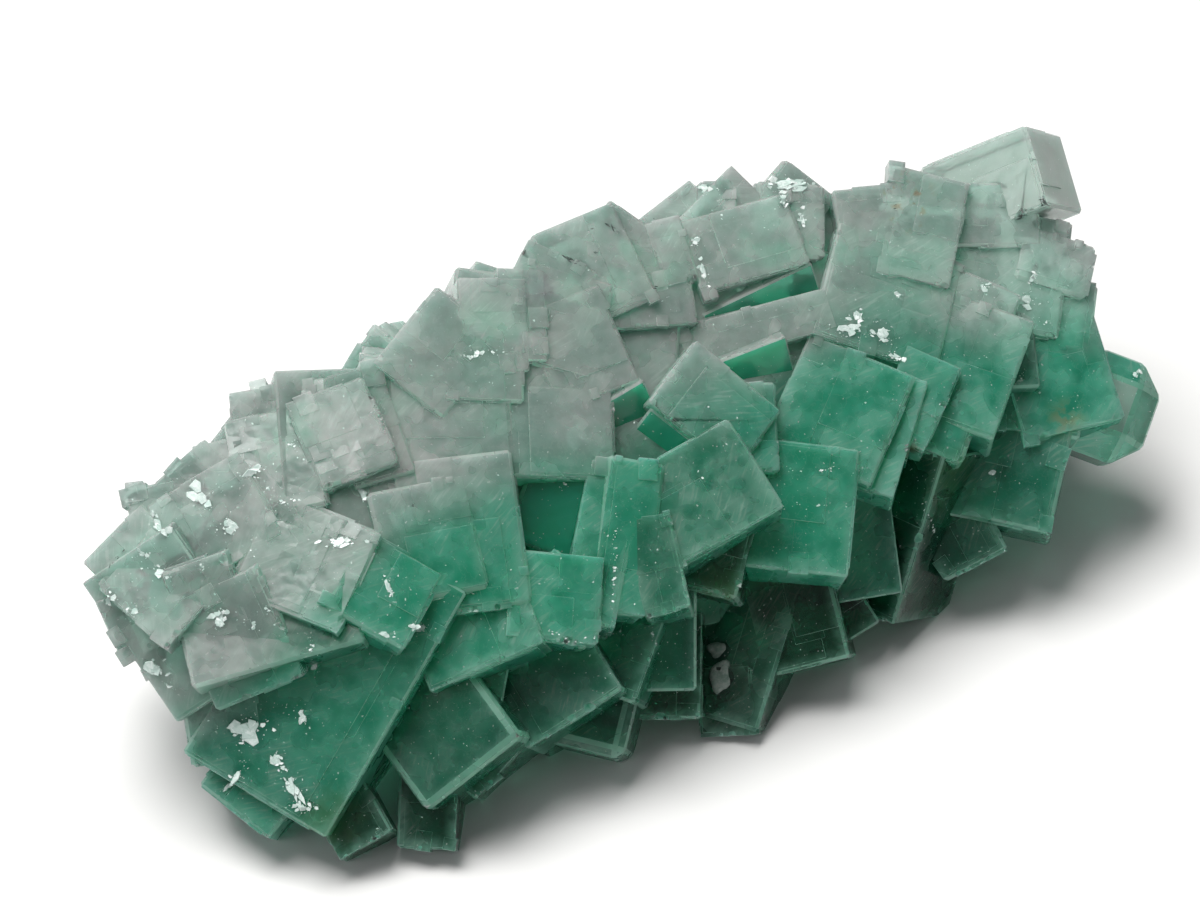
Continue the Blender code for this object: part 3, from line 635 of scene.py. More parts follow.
def glint_material():
    # Painted highlights: near-white flakes that stand in for light glinting off broken cleavage.
    g = Graph("painted_glint_cleavage")
    where = g.place()
    patch = g.ramp(g.noise(where, 0.5, 4.0, 0.7), 0.40, 0.62)
    glint_white = g.mix(patch, (0.88, 0.92, 0.905), (0.55, 0.66, 0.62))
    g.link(g.mix(g.own("tone"), (0.36, 0.50, 0.45), glint_white), g.shader.inputs["Base Color"])
    g.link(g.ramp(g.noise(where, 0.3, 2.0), 0.3, 0.7, 0.10, 0.32), g.shader.inputs["Roughness"])
    g.bump((g.noise(where, 0.25, 3.0), 0.02))
    return g.material


def veil_material():
    g = Graph("healed_crack")
    where = g.place()
    patch = g.ramp(g.noise(where, 0.9, 4.0, 0.7), 0.38, 0.62)
    g.link(g.mix(patch, (0.56, 0.70, 0.64), (0.30, 0.46, 0.40)), g.shader.inputs["Base Color"])
    g.link(g.ramp(g.noise(where, 0.6, 2.0), 0.3, 0.7, 0.25, 0.5), g.shader.inputs["Roughness"])
    g.bump((g.noise(where, 0.4, 3.0), 0.03))
    return g.material


def dark_material():
    g = Graph("open_crack")
    where = g.place()
    patch = g.ramp(g.noise(where, 0.5, 4.0, 0.7), 0.38, 0.62)
    g.link(g.mix(patch, (0.030, 0.045, 0.040), (0.075, 0.10, 0.09)), g.shader.inputs["Base Color"])
    g.link(g.ramp(g.noise(where, 0.4, 2.0), 0.3, 0.7, 0.30, 0.6), g.shader.inputs["Roughness"])
    return g.material


def lump_material():
    g = Graph("white_lump")
    where = g.place()
    patch = g.ramp(g.noise(where, 0.7, 4.0, 0.7), 0.36, 0.64)
    g.link(g.mix(patch, (0.27, 0.32, 0.29), (0.13, 0.20, 0.165)), g.shader.inputs["Base Color"])
    g.link(g.ramp(g.noise(where, 0.4, 2.0), 0.3, 0.7, 0.35, 0.6), g.shader.inputs["Roughness"])
    g.bump((g.noise(where, 0.35, 3.0), 0.08))
    return g.material


# ---------------------------------------------------------------- growing the cluster

def pose_of(spin, tip, turn):
    """A crystal's own axes: width, height and front, as the columns of a rotation."""
    return (
        Matrix((RIGHT, UP, OUT)).transposed()
        @ Matrix.Rotation(math.radians(spin), 3, "Z")
        @ Matrix.Rotation(math.radians(-tip), 3, "X")
        @ Matrix.Rotation(math.radians(turn), 3, "Y")
    )


def home_of(place, pose, size, corner):
    """A crystal's place, axes, middle and half size, from which its faces are measured."""
    across = {"bl": 0.5, "tl": 0.5, "br": -0.5, "tr": -0.5}.get(corner, 0.0)
    along = {"bl": 0.5, "br": 0.5, "tl": -0.5, "tr": -0.5}.get(corner, 0.0)
    under = 0.0 if corner == "middle" else -0.5
    middle = Vector((across * size[0], along * size[1], under * size[2]))
    return place, pose.transposed(), middle, Vector(size) * 0.5


def tag_faces(shape, own, home, deep=0.0):
    """Each face carries its crystal's own number, its painted shade, its rim, window and clear marks, half
    size and its place within the crystal.
    """
    place, inverse, middle, half = home
    own_layer = shape.faces.layers.float.new("own")
    shade_layer = shape.faces.layers.float.new("deep")
    looks = [(shape.faces.layers.float.new(name), index) for name, index in (
        ("rim", RIM), ("window", WINDOW), ("clear", CLEAR_FACE))]
    half_layer = shape.faces.layers.float_vector.new("half")
    local_layer = shape.loops.layers.float_vector.new("local")
    for side in shape.faces:
        side[own_layer] = own
        side[shade_layer] = deep
        for layer, index in looks:
            side[layer] = 1.0 if side.material_index == index else 0.0
        side[half_layer] = half
        for loop in side.loops:
            loop[local_layer] = inverse @ ((loop.vert.co - place) / MM) - middle
        side.material_index = 0


def cube(name, place, pose, size, corner, edge, own, face=FACE, rim=RIM, facet=0.0, home=None):
    """A cube-shaped crystal with bevelled edges, pale with wear and painted glow, whose front face's chosen
    corner is at place.
    """
    # How much painted shade the crystal's faces get, most under the lip.
    deep = PAINTED_SHADE_BY_CRYSTAL.get(name.split("_")[0], PAINTED_SHADE_GROUP.get(name[0], 0.0))
    mesh = bpy.data.meshes.new(name)
    shape = bmesh.new()
    bmesh.ops.create_cube(shape, size=1.0)
    across = {"bl": 0.5, "tl": 0.5, "br": -0.5, "tr": -0.5}.get(corner, 0.0)
    along = {"bl": 0.5, "br": 0.5, "tl": -0.5, "tr": -0.5}.get(corner, 0.0)
    under = 0.0 if corner == "middle" else -0.5
    for vert in shape.verts:
        vert.co.x = (vert.co.x + across) * size[0] * MM
        vert.co.y = (vert.co.y + along) * size[1] * MM
        vert.co.z = (vert.co.z + under) * size[2] * MM
    for side in shape.faces:
        # A window is one smooth face only: the crystal's front.
        front = face != WINDOW or all(vert.co.z > -1e-6 for vert in side.verts)
        side.material_index = face if front else FACE
    if facet:
        bmesh.ops.bevel(
            shape, geom=list(shape.edges), offset=facet * MM, offset_type="OFFSET",
            segments=1, profile=0.5, affect="EDGES",
        )
    if edge:
        bmesh.ops.bevel(
            shape, geom=list(shape.edges), offset=edge * MM, offset_type="OFFSET",
            segments=1, profile=0.5, affect="EDGES", material=rim,
        )
    bmesh.ops.transform(shape, matrix=Matrix.Translation(place) @ pose.to_4x4(), verts=shape.verts)
    bmesh.ops.recalc_face_normals(shape, faces=shape.faces)
    tag_faces(shape, own, home or home_of(place, pose, size, corner), deep)
    shape.to_mesh(mesh)
    shape.free()
    crystal = bpy.data.objects.new(name, mesh)
    grown.objects.link(crystal)
    mesh.materials.append(crystal_look)
    return crystal


def layers_on(name, place, pose, size, corner, own, chance, face):
    """Growth layers on the front face, thin plates on the two near sides, blocks in the rims."""
    across = {"bl": 0.5, "tl": 0.5, "br": -0.5, "tr": -0.5}.get(corner, 0.0)
    along = {"bl": 0.5, "br": 0.5, "tl": -0.5, "tr": -0.5}.get(corner, 0.0)
    wide, high, deep = size
    centre = Vector((across * wide, along * high, 0.0))
    home = home_of(place, pose, size, corner)
    for number in range(chance.randint(*LAYERS)):
        w, h = wide * chance.uniform(*LAYER_SHARE), high * chance.uniform(*LAYER_SHARE)
        slack = Vector((wide - w, high - h, 0.0)) * 0.5
        shift = centre + Vector((
            slack.x * chance.choice((-0.97, 0.97, chance.uniform(-1, 1))),
            slack.y * chance.choice((-0.97, 0.97, chance.uniform(-1, 1))),
            chance.uniform(*LAYER_RISE),
        ))
        cube("%s_layer%d" % (name, number), place + pose @ (shift * MM), pose, (w, h, 1.5), "c",
             FINE_EDGE, own, face, RIM, 0.0, home)
    lean = MOSAIC_LEAN.get(name[0], 2.0)
    for number in range(int(wide * high * MOSAIC.get(name[0], 0.0)) if face == FACE else 0):
        w, h = chance.uniform(*MOSAIC_BLOCK), chance.uniform(*MOSAIC_BLOCK)
        shift = centre + Vector((
            chance.uniform(-0.5, 0.5) * (wide - w), chance.uniform(-0.5, 0.5) * (high - h),
            chance.uniform(-0.01, 0.06),
        ))
        off = (
            Matrix.Rotation(math.radians(chance.uniform(-lean, lean)), 3, "X")
            @ Matrix.Rotation(math.radians(chance.uniform(-lean, lean)), 3, "Y")
        )
        cube("%s_tile%d" % (name, number), place + pose @ (shift * MM), pose @ off, (w, h, 1.8), "c",
             0.0, own + chance.uniform(-0.04, 0.04), face, RIM, 0.0, home)
    for number in range(chance.randint(2, 4)):
        side = chance.choice((-1.0, 1.0, 1.0))
        h, d = high * chance.uniform(0.25, 0.85), deep * chance.uniform(0.2, 0.7)
        shift = centre + Vector((
            side * (wide * 0.5 - 0.8 + chance.uniform(*SIDE_RISE)),
            (high - h) * 0.5 * chance.uniform(-0.98, 0.98),
            -d * 0.5 - chance.uniform(0.0, 0.6),
        ))
        cube("%s_side%d" % (name, number), place + pose @ (shift * MM), pose, (1.6, h, d), "middle",
             FINE_EDGE, own, face, RIM, 0.0, home)
    for number in range(chance.randint(2, 4)):
        side = chance.choice((-1.0, -1.0, 1.0))
        w, d = wide * chance.uniform(0.25, 0.85), deep * chance.uniform(0.2, 0.7)
        shift = centre + Vector((
            (wide - w) * 0.5 * chance.uniform(-0.98, 0.98),
            side * (high * 0.5 - 0.8 + chance.uniform(*SIDE_RISE)),
            -d * 0.5 - chance.uniform(0.0, 0.6),
        ))
        cube("%s_end%d" % (name, number), place + pose @ (shift * MM), pose, (w, 1.6, d), "middle",
             FINE_EDGE, own, face, RIM, 0.0, home)
    for number in range(chance.randint(2, 4)):
        s = chance.uniform(*RIM_BLOCK)
        x, y = chance.uniform(-0.5, 0.5) * wide, chance.uniform(-0.5, 0.5) * high
        if chance.random() < 0.5:
            x = math.copysign(wide * 0.5 - s * 0.42, x)
        else:
            y = math.copysign(high * 0.5 - s * 0.42, y)
        shift = centre + Vector((x, y, chance.uniform(0.02, 0.25)))
        off = (
            Matrix.Rotation(math.radians(chance.uniform(-9, 9)), 3, "Z")
            @ Matrix.Rotation(math.radians(chance.uniform(-5, 5)), 3, "X")
        )
        cube("%s_block%d" % (name, number), place + pose @ (shift * MM), pose @ off,
             (s, s * chance.uniform(0.7, 1.4), 2.0), "c", FINE_EDGE,
             own + chance.uniform(-0.15, 0.15), face, RIM, 0.0, home)


def solid_of(body, operation, with_object=None, with_collection=None):
    """Run one Boolean on a body and keep its result as the body's own mesh."""
    change = body.modifiers.new("change", "BOOLEAN")
    change.operation = operation
    change.solver = "MANIFOLD"
    if with_collection is not None:
        change.operand_type = "COLLECTION"
        change.collection = with_collection
    else:
        change.object = with_object
    bpy.context.view_layer.update()
    result = bpy.data.meshes.new_from_object(
        body.evaluated_get(bpy.context.evaluated_depsgraph_get())
    )
    body.modifiers.clear()
    body.data = result
    return body


def keep_outer_skin(mesh):
    """Fill the pockets that are shut in between crystals: only the largest shell stays."""
    skin = bmesh.new()
    skin.from_mesh(mesh)
    shells, left = [], set(skin.verts)
    while left:
        shell, edge_of_it = set(), [left.pop()]
        while edge_of_it:
            vert = edge_of_it.pop()
            shell.add(vert)
            for edge in vert.link_edges:
                other = edge.other_vert(vert)
                if other in left:
                    left.discard(other)
                    edge_of_it.append(other)
        shells.append(shell)
    shells.sort(key=len)
    bmesh.ops.delete(skin, geom=[v for s in shells[:-1] for v in s], context="VERTS")
    skin.to_mesh(mesh)
    skin.free()


def stone(shape, centre, radius, chance, flat=1.0):
    """A small irregular lump, for chips and inclusions, added to shape."""
    made = bmesh.ops.create_icosphere(shape, subdivisions=1, radius=radius)
    turn = Matrix.Rotation(chance.uniform(0, 6.28), 3, Vector((
        chance.uniform(-1, 1), chance.uniform(-1, 1), chance.uniform(-1, 1) + 0.01)).normalized())
    for vert in made["verts"]:
        vert.co *= chance.uniform(0.72, 1.28)
        vert.co.z *= flat
        vert.co = turn @ vert.co + centre
    return made["verts"]


grown = bpy.data.collections.new("grown")
scene.collection.children.link(grown)

terraces = random.Random(21)
finer = random.Random(77)
rims = []
for name, x, y, proud, corner, spin, tip, turn, wide, high, deep, facet in CRYSTALS:
    place = on_face(x, y, proud)
    pose = pose_of(spin, tip, turn)
    size = (wide, high, deep)
    own = finer.random()
    face = WINDOW if name[0] == "W" else CLEAR_FACE if name in CLEAREST else FACE
    edge = finer.uniform(*EDGE)
    cube(name, place, pose, size, corner, edge, own, face, RIM, facet)
    if min(wide, high) >= TERRACED_FROM and not facet and name[0] not in "KW":
        across = {"bl": 0.5, "tl": 0.5, "br": -0.5, "tr": -0.5}.get(corner, 0.0)
        along = {"bl": 0.5, "br": 0.5, "tl": -0.5, "tr": -0.5}.get(corner, 0.0)
        w = wide * terraces.uniform(*TERRACE_SHARE)
        h = high * terraces.uniform(*TERRACE_SHARE)
        slack = Vector((wide - w, high - h, 0.0)) * 0.5
        shift = Vector((
            across * wide + slack.x * terraces.choice((-0.85, 0.85)),
            along * high + slack.y * terraces.choice((-0.85, 0.85)),
            terraces.uniform(*TERRACE_RISE) * TERRACE_SINKS,
        ))
        middle = place + pose @ (shift * MM)
        cube(name + "_terrace", middle, pose, (w, h, TERRACE_DEPTH), "c", 0.05,
             own + finer.uniform(-0.05, 0.05), face, RIM, 0.0,
             home_of(place, pose, size, corner))
    if name[0] not in "KW" and not facet:
        layers_on(name, place, pose, size, corner, own, finer, face)
    if name[0] not in "K":
        across = {"bl": 0.5, "tl": 0.5, "br": -0.5, "tr": -0.5}.get(corner, 0.0)
        along = {"bl": 0.5, "br": 0.5, "tl": -0.5, "tr": -0.5}.get(corner, 0.0)
        rims.append((place, pose, size, Vector((across * wide, along * high, 0.0))))

chance = random.Random(5)
for number, (x, y, z) in enumerate(BACK_PLACES, start=1):
    pose = pose_of(
        chance.uniform(-BACK_SPIN, BACK_SPIN),
        chance.uniform(-BACK_LEAN, BACK_LEAN),
        chance.uniform(-BACK_LEAN, BACK_LEAN),
    )
    size = [chance.uniform(*BACK_EDGE) for _ in range(3)]
    place = (Vector((x, y, z)) + TO_ORIGIN) * MM
    own = finer.random()
    cube("back%02d" % number, place, pose, size, "middle", finer.uniform(*EDGE), own)
    # The same fine layers, on whichever three faces of it look away from the cluster's middle.
    outward = (place - Vector((0.0, 0.0, 8.0)) * MM).normalized()
    for axis in range(3):
        front = pose.col[axis] if pose.col[axis].dot(outward) > 0 else -pose.col[axis]
        other = pose.col[(axis + 1) % 3]
        frame_of_it = Matrix((other, front.cross(other), front)).transposed()
        span = (size[(axis + 1) % 3], size[(axis + 2) % 3], size[axis])
        top = place + front * size[axis] * 0.5 * MM
        layers_on("back%02d_%d" % (number, axis), top, frame_of_it, span, "c", own, finer, FACE)

block = bpy.data.meshes.new("crystal_skin")
shape = bmesh.new()
bmesh.ops.create_cube(shape, size=1.0)
for vert in shape.verts:
    vert.co = Vector((
        (-33.7, 38.3)[vert.co.x > 0], (-13, 15)[vert.co.y > 0], (-2, 17)[vert.co.z > 0])) * MM
tag_faces(shape, 0.5, home_of(Vector(), Matrix.Identity(3), (80.0, 40.0, 30.0), "middle"))
shape.to_mesh(block)
shape.free()
block.materials.append(crystal_look)
cluster = bpy.data.objects.new("crystal_skin", block)
scene.collection.objects.link(cluster)
solid_of(cluster, "UNION", with_collection=grown)

# Chips out of the rims, most of them along the lower and the right-hand edges.
uncut = bmesh.new()
uncut.from_mesh(cluster.data)
uncut_surface = BVHTree.FromBMesh(uncut)
uncut.free()


def is_free_rim(place, pose, at, outward):
    """Whether a point of a crystal's rim lies open, with the surface falling away outside it."""
    above = place + pose @ ((at + Vector((0.0, 0.0, 4.0))) * MM)
    beside = place + pose @ ((at + outward * 0.7 + Vector((0.0, 0.0, 4.0))) * MM)
    inner = place + pose @ ((at - outward * 0.6 + Vector((0.0, 0.0, 4.0))) * MM)
    falls = [uncut_surface.ray_cast(start, -pose.col[2])[3] for start in (inner, beside)]
    if falls[0] is None or abs(falls[0] / MM - 4.0) > 0.35:
        return False
    return falls[1] is None or falls[1] / MM > 4.7


chipping = random.Random(11)
shape = bmesh.new()
for _ in range(CHIPS):
    place, pose, size, centre = chipping.choice(rims)
    if chipping.random() < 0.55:
        at = Vector((chipping.uniform(-0.5, 0.5) * size[0], -0.5 * size[1], 0.0))
        outward = Vector((0.0, -1.0, 0.0))
    else:
        side = chipping.choice((-1.0, 1.0, 1.0))
        at = Vector((side * 0.5 * size[0], chipping.uniform(-0.5, 0.5) * size[1], 0.0))
        outward = Vector((side, 0.0, 0.0))
    if not is_free_rim(place, pose, centre + at, outward):
        continue
    radius = chipping.uniform(*CHIP) * chipping.uniform(0.5, 1.0)
    at += Vector((0.0, 0.0, radius * chipping.uniform(0.1, 0.5)))
    stone(shape, place + pose @ ((centre + at) * MM), radius * MM, chipping)
for side in shape.faces:
    side.material_index = RIM
mesh = bpy.data.meshes.new("chips")
tag_faces(shape, 0.5, home_of(Vector(), Matrix.Identity(3), (400.0, 400.0, 400.0), "middle"))
shape.to_mesh(mesh)
shape.free()
mesh.materials.append(crystal_look)
chips = bpy.data.objects.new("chips", mesh)
scene.collection.objects.link(chips)
solid_of(cluster, "DIFFERENCE", with_object=chips)

mesh = bpy.data.meshes.new("foot_cut")
shape = bmesh.new()
bmesh.ops.create_cube(shape, size=1.0)
for vert in shape.verts:
    vert.co = Vector((vert.co.x * 0.3, vert.co.y * 0.3, -0.02 if vert.co.z < 0 else 0.0))
tag_faces(shape, 0.5, home_of(Vector(), Matrix.Identity(3), (400.0, 400.0, 400.0), "middle"))
shape.to_mesh(mesh)
shape.free()
mesh.materials.append(crystal_look)
foot = bpy.data.objects.new("foot_cut", mesh)
scene.collection.objects.link(foot)
solid_of(cluster, "DIFFERENCE", with_object=foot)
keep_outer_skin(cluster.data)

bpy.data.batch_remove([chips, foot, *grown.objects])
bpy.data.collections.remove(grown)
cluster.data.shade_flat()

skin = bmesh.new()
skin.from_mesh(cluster.data)
surface = BVHTree.FromBMesh(skin)
print("cluster faces", len(skin.faces), "triangles", sum(len(f.verts) - 2 for f in skin.faces),
      "open edges", sum(1 for e in skin.edges if len(e.link_faces) != 2))
skin.free()


def on_skin(x, y):
    """Where a line of sight through a point of the drawing meets the crystals, and the normal."""
    drawn = RIGHT * ((x - MIDDLE[0]) * STEP) + UP * ((MIDDLE[1] - y) * STEP) + TO_ORIGIN
    place, normal, _, _ = surface.ray_cast(EYE * MM, (drawn - EYE).normalized())
    return place, normal


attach(cluster, "root")
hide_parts("crystal_cluster")

# ---------------------------------------------------------------- cleavage glints, cracks, veils

# Painted glints on broken cleavage: white flakes whose colour stands in for light caught by the broken
# surfaces.
# x, y of the patch's middle on the drawing, its width and height there and its angle, then how many flakes
# make it up and how wide they are in millimetres.
GLINTS = [
    (157, 525, 26, 11, -50, 9, 0.5, 1.3), (142, 553, 13, 8, -45, 4, 0.4, 0.9),
    (161, 574, 22, 12, -35, 7, 0.3, 1.0), (219, 618, 20, 24, 0, 8, 0.8, 1.7),
    (252, 626, 10, 8, 20, 3, 0.5, 0.9), (267, 611, 10, 6, 0, 2, 0.4, 0.7),
    (337, 543, 46, 15, 4, 15, 0.4, 1.2), (362, 494, 12, 20, 30, 3, 0.5, 0.9),
    (389, 588, 8, 28, 15, 10, 0.2, 0.5), (418, 629, 26, 10, -10, 9, 0.3, 0.9),
    (385, 635, 16, 8, -15, 5, 0.3, 0.7), (312, 647, 5, 15, 15, 5, 0.2, 0.5),
    (314, 666, 10, 9, 0, 2, 0.5, 0.8), (303, 719, 11, 18, 20, 5, 0.5, 1.1),
    (248, 732, 42, 38, 0, 24, 0.3, 1.0), (233, 781, 38, 8, 48, 9, 0.3, 0.9),
    (276, 760, 18, 18, 0, 8, 0.3, 0.8), (293, 788, 54, 12, -58, 14, 0.4, 1.0),
    (302, 807, 24, 10, 0, 6, 0.4, 0.9), (314, 840, 12, 6, 0, 3, 0.3, 0.7),
    (158, 667, 24, 24, 0, 6, 0.5, 1.2), (170, 685, 9, 6, 0, 2, 0.4, 0.7),
    (268, 489, 7, 6, 0, 3, 0.3, 0.6), (293, 445, 9, 5, 10, 3, 0.3, 0.6),
    (202, 566, 6, 9, 0, 3, 0.3, 0.5), (286, 501, 22, 5, 12, 6, 0.2, 0.6),
    (110, 598, 12, 18, 0, 7, 0.2, 0.6), (134, 612, 16, 10, 0, 5, 0.2, 0.6),
    (200, 500, 40, 22, -40, 14, 0.15, 0.5), (232, 528, 34, 16, -38, 10, 0.15, 0.5),
    (475, 355, 42, 6, 8, 13, 0.3, 0.9), (790, 186, 60, 12, 0, 26, 0.6, 1.8),
    (783, 201, 13, 13, 0, 6, 0.4, 1.1), (802, 219, 9, 26, 8, 8, 0.4, 1.0),
    (705, 187, 15, 11, 0, 6, 0.5, 1.2), (696, 240, 15, 10, 20, 4, 0.4, 0.9),
    (702, 270, 10, 26, 15, 5, 0.4, 1.0), (857, 317, 17, 16, 0, 8, 0.5, 1.3),
    (880, 334, 26, 17, 0, 14, 0.3, 1.0), (895, 357, 20, 7, -25, 8, 0.3, 0.9),
    (845, 330, 30, 20, 0, 10, 0.15, 0.5), (898, 295, 16, 8, 0, 5, 0.2, 0.5),
    (1033, 279, 7, 20, -28, 6, 0.3, 0.8), (1026, 300, 30, 14, 0, 11, 0.2, 0.6),
    (1045, 322, 10, 6, 0, 4, 0.2, 0.5), (985, 287, 14, 9, 0, 5, 0.25, 0.6),
    (1020, 380, 4, 11, -25, 3, 0.3, 0.6), (993, 473, 11, 7, 0, 3, 0.4, 0.8),
    (1137, 374, 9, 14, -30, 3, 0.5, 1.0), (255, 470, 36, 14, 20, 8, 0.15, 0.5),
    (614, 570, 4, 66, -2, 16, 0.15, 0.5), (600, 636, 34, 5, 12, 7, 0.2, 0.5),
    (560, 636, 30, 5, -25, 7, 0.2, 0.5), (655, 640, 4, 34, 22, 7, 0.15, 0.5),
    (820, 470, 60, 3, 2, 8, 0.15, 0.4), (812, 506, 40, 3, 2, 5, 0.15, 0.4),
    (930, 520, 5, 60, 18, 8, 0.15, 0.4), (566, 484, 12, 6, 0, 3, 0.2, 0.4),
]

# Open cracks, seen as dark gashes: the same columns.
CRACKS = [
    (608, 224, 28, 5, -40, 7, 0.5, 1.3), (591, 229, 9, 6, -20, 3, 0.3, 0.7),
    (565, 258, 34, 5, -22, 8, 0.4, 1.1), (579, 262, 14, 6, -10, 4, 0.3, 0.8),
    (594, 252, 12, 5, -30, 4, 0.3, 0.6), (647, 274, 12, 1.5, 15, 4, 0.2, 0.4),
    (658, 287, 6, 6, 0, 2, 0.4, 0.6), (120, 555, 34, 3, 47, 8, 0.25, 0.7),
    (415, 505, 10, 7, 0, 4, 0.25, 0.6), (1042, 201, 17, 9, -22, 7, 0.5, 1.1),
    (1020, 216, 22, 8, 8, 7, 0.5, 1.1), (906, 449, 4, 16, 0, 4, 0.4, 0.9),
    (940, 362, 3, 3, 0, 1, 0.3, 0.4), (895, 208, 5, 8, 10, 3, 0.4, 0.8),
]


def flake(shape, centre, normal, side, long, wide, thick, chance, tone=0.5):
    """A thin splinter with an uneven outline, lying square to normal and along side."""
    side = (side - normal * side.dot(normal)).normalized()
    other = normal.cross(side)
    tones = shape.faces.layers.float.get("tone") or shape.faces.layers.float.new("tone")
    count = chance.randint(4, 7)
    under, over = [], []
    for number in range(count):
        angle = 2 * math.pi * (number + chance.uniform(-0.3, 0.3)) / count
        reach = chance.uniform(0.62, 1.0) * 0.5
        out = side * math.cos(angle) * reach * long + other * math.sin(angle) * reach * wide
        under.append(shape.verts.new(centre + out - normal * thick * 0.5))
        over.append(shape.verts.new(centre + out * 0.9 + normal * thick * 0.5))
    faces = [shape.faces.new(under[::-1]), shape.faces.new(over)]
    for number in range(count):
        after = (number + 1) % count
        faces.append(shape.faces.new((under[number], under[after], over[after], over[number])))
    for face in faces:
        face[tones] = tone


def piece_from(shape, name, look):
    bmesh.ops.recalc_face_normals(shape, faces=shape.faces)
    mesh = bpy.data.meshes.new(name)
    shape.to_mesh(mesh)
    shape.free()
    mesh.materials.append(look)
    mesh.shade_flat()
    made = bpy.data.objects.new(name, mesh)
    scene.collection.objects.link(made)
    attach(made, "root")
    return made


def any_way(chance):
    return Vector((chance.uniform(-1, 1), chance.uniform(-1, 1), chance.uniform(-1, 1) + 0.01))


def patches(table, name, look, chance, thick, proud, lean, slim=(0.4, 0.9), broad=0, sparks=0):
    """Flakes over patches of the drawing, set in the skin; lean tips them towards the sight.

    Each patch has its listed flakes, then broad plates that run together in its middle, unless it
    is a line of flakes, and sparks, tiny ones thinning out round it.
    """
    shape = bmesh.new()
    for x, y, wide, high, angle, count, small, large in table:
        turn = math.radians(angle)
        way = RIGHT * math.cos(turn) + UP * math.sin(turn)
        reach = 0.5 * math.sqrt(wide * high) * STEP
        plates = round(broad * min(6, 1 + reach)) if min(wide, high) > 6 else 0
        kinds = ["flake"] * count + ["broad"] * plates + ["spark"] * round(sparks * (3 + 1.2 * count))
        for kind in kinds:
            spread = {"flake": 0.45, "broad": 0.25, "spark": 0.95}[kind]
            a = chance.gauss(0.0, 0.5) * spread * wide
            b = chance.gauss(0.0, 0.5) * spread * high
            if kind == "spark":
                b += chance.gauss(0.0, 3.0)
            px = x + a * math.cos(turn) + b * math.sin(turn)
            py = y - a * math.sin(turn) + b * math.cos(turn)
            place, normal = on_skin(px, py)
            if place is None:
                continue
            facing = (normal + OUT * lean + any_way(chance) * 0.25).normalized()
            size = chance.uniform(small, large)
            breadth = size * chance.uniform(*slim)
            if kind == "broad":
                size = max(chance.uniform(0.35, 0.70) * wide * STEP, 0.4)
                breadth = max(chance.uniform(0.45, 0.85) * high * STEP, 0.25)
            elif kind == "spark":
                size = chance.uniform(0.09, 0.22)
                breadth = size * 0.7
            depth = thick * chance.uniform(0.7, 1.3) * MM * (0.6 if kind == "spark" else 1.0)
            tone = {"flake": (0.25, 1.0), "broad": (0.10, 0.65), "spark": (0.0, 0.8)}[kind]
            bend = 0.25 if kind == "broad" else 0.5
            flake(shape, place + normal * (proud * MM - depth * 0.5), facing,
                  way + any_way(chance) * bend, size * MM, breadth * MM, depth, chance,
                  chance.uniform(*tone))
    return piece_from(shape, name, look)


glint_look = glint_material()
patches(GLINTS, "cleavage_glints", glint_look, random.Random(3), 0.14, 0.04, 0.15,
        (0.4, 0.9), 1.6, 1.4)
patches(CRACKS, "open_cracks", dark_material(), random.Random(4), 0.14, 0.02, 0.0, (0.12, 0.3))

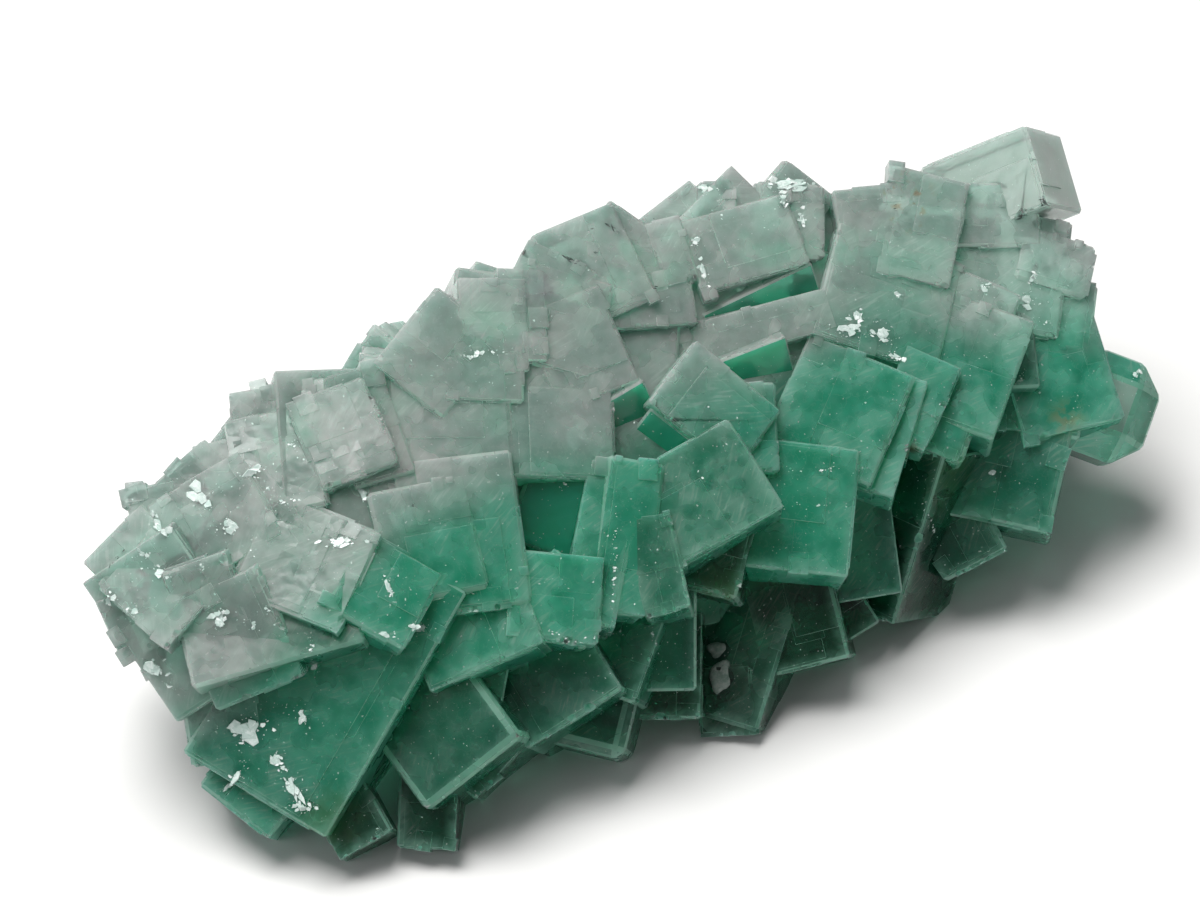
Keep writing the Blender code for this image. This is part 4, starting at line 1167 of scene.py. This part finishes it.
# Painted glints scattered over every crystal, and veils of healed cracks inside them.
scatter = random.Random(9)
shape = bmesh.new()
veils = bmesh.new()
homes = [(p, q, s, c) for p, q, s, c in rims]
for place, pose, size, centre in homes:
    for _ in range(scatter.randint(2, 5)):
        at = Vector((scatter.uniform(-0.45, 0.45) * size[0], scatter.uniform(-0.45, 0.45) * size[1], 3.0))
        start = place + pose @ ((centre + at) * MM)
        hit, normal, _, _ = surface.ray_cast(start, -pose.col[2], 6.0 * MM)
        if hit is None:
            continue
        long = scatter.uniform(0.12, 0.42) * MM
        flake(shape, hit - normal * 0.02 * MM, normal, any_way(scatter), long,
              long * scatter.uniform(0.3, 0.8), 0.08 * MM, scatter, scatter.uniform(0.0, 0.6))
    for _ in range(scatter.randint(1, 2)):
        down = scatter.uniform(0.5, 3.2)
        at = Vector((
            scatter.uniform(-0.26, 0.26) * size[0], scatter.uniform(-0.26, 0.26) * size[1], -down))
        tilt = Vector((scatter.choice((-1, 0, 1)), scatter.choice((-1, 0, 1)), 1.6)).normalized()
        long = scatter.uniform(0.22, 0.5) * min(size[0], size[1])
        if abs(tilt.z) < 0.95:
            long = min(long, down * 1.3)
        middle = place + pose @ ((centre + at) * MM)
        flake(veils, middle, pose @ tilt, any_way(scatter), long * MM,
              long * scatter.uniform(0.35, 0.8) * MM, 0.06 * MM, scatter)
piece_from(shape, "fine_glints", glint_look)
piece_from(veils, "healed_cracks", veil_material())

# Whitish lumps grown into the shaded crystals under the lip, sunk for the most part.
lumps = random.Random(15)
shape = bmesh.new()
for x, y, wide, high, spin in ((718, 650, 2.6, 2.2, 10), (722, 676, 2.4, 3.6, -20)):
    place, normal = on_skin(x, y)
    made = bmesh.ops.create_icosphere(shape, subdivisions=3, radius=0.5)["verts"]
    waves = [(Vector((lumps.uniform(-1, 1), lumps.uniform(-1, 1), lumps.uniform(-1, 1))) * 9.0,
              lumps.uniform(0, 6.28)) for _ in range(7)]
    basis = Matrix((RIGHT, UP, OUT)).transposed() @ Matrix.Rotation(math.radians(spin), 3, "Z")
    for vert in made:
        swell = 1.0 + 0.07 * sum(math.sin(vert.co.dot(k) + phase) for k, phase in waves)
        grown_to = Vector((vert.co.x * wide, vert.co.y * high, vert.co.z * 1.1)) * swell
        vert.co = place + basis @ (grown_to * MM) - normal * 0.30 * MM
lump = piece_from(shape, "white_lumps", lump_material())
lump.data.shade_smooth()

# ---------------------------------------------------------------- the floor

mesh = bpy.data.meshes.new("floor")
shape = bmesh.new()
bmesh.ops.create_grid(shape, x_segments=2, y_segments=2, size=3.0)
shape.to_mesh(mesh)
shape.free()
floor = bpy.data.objects.new("floor", mesh)
floor.location = (0.0, 0.0, -0.0002)
scene.collection.objects.link(floor)
g = Graph("pale_floor")
where = g.place()
tone = g.ramp(g.noise(where, 60.0, 2.0), 0.3, 0.7)
g.link(g.mix(tone, (0.74, 0.74, 0.735), (0.77, 0.77, 0.765)), g.shader.inputs["Base Color"])
g.shader.inputs["Roughness"].default_value = 0.6
mesh.materials.append(g.material)
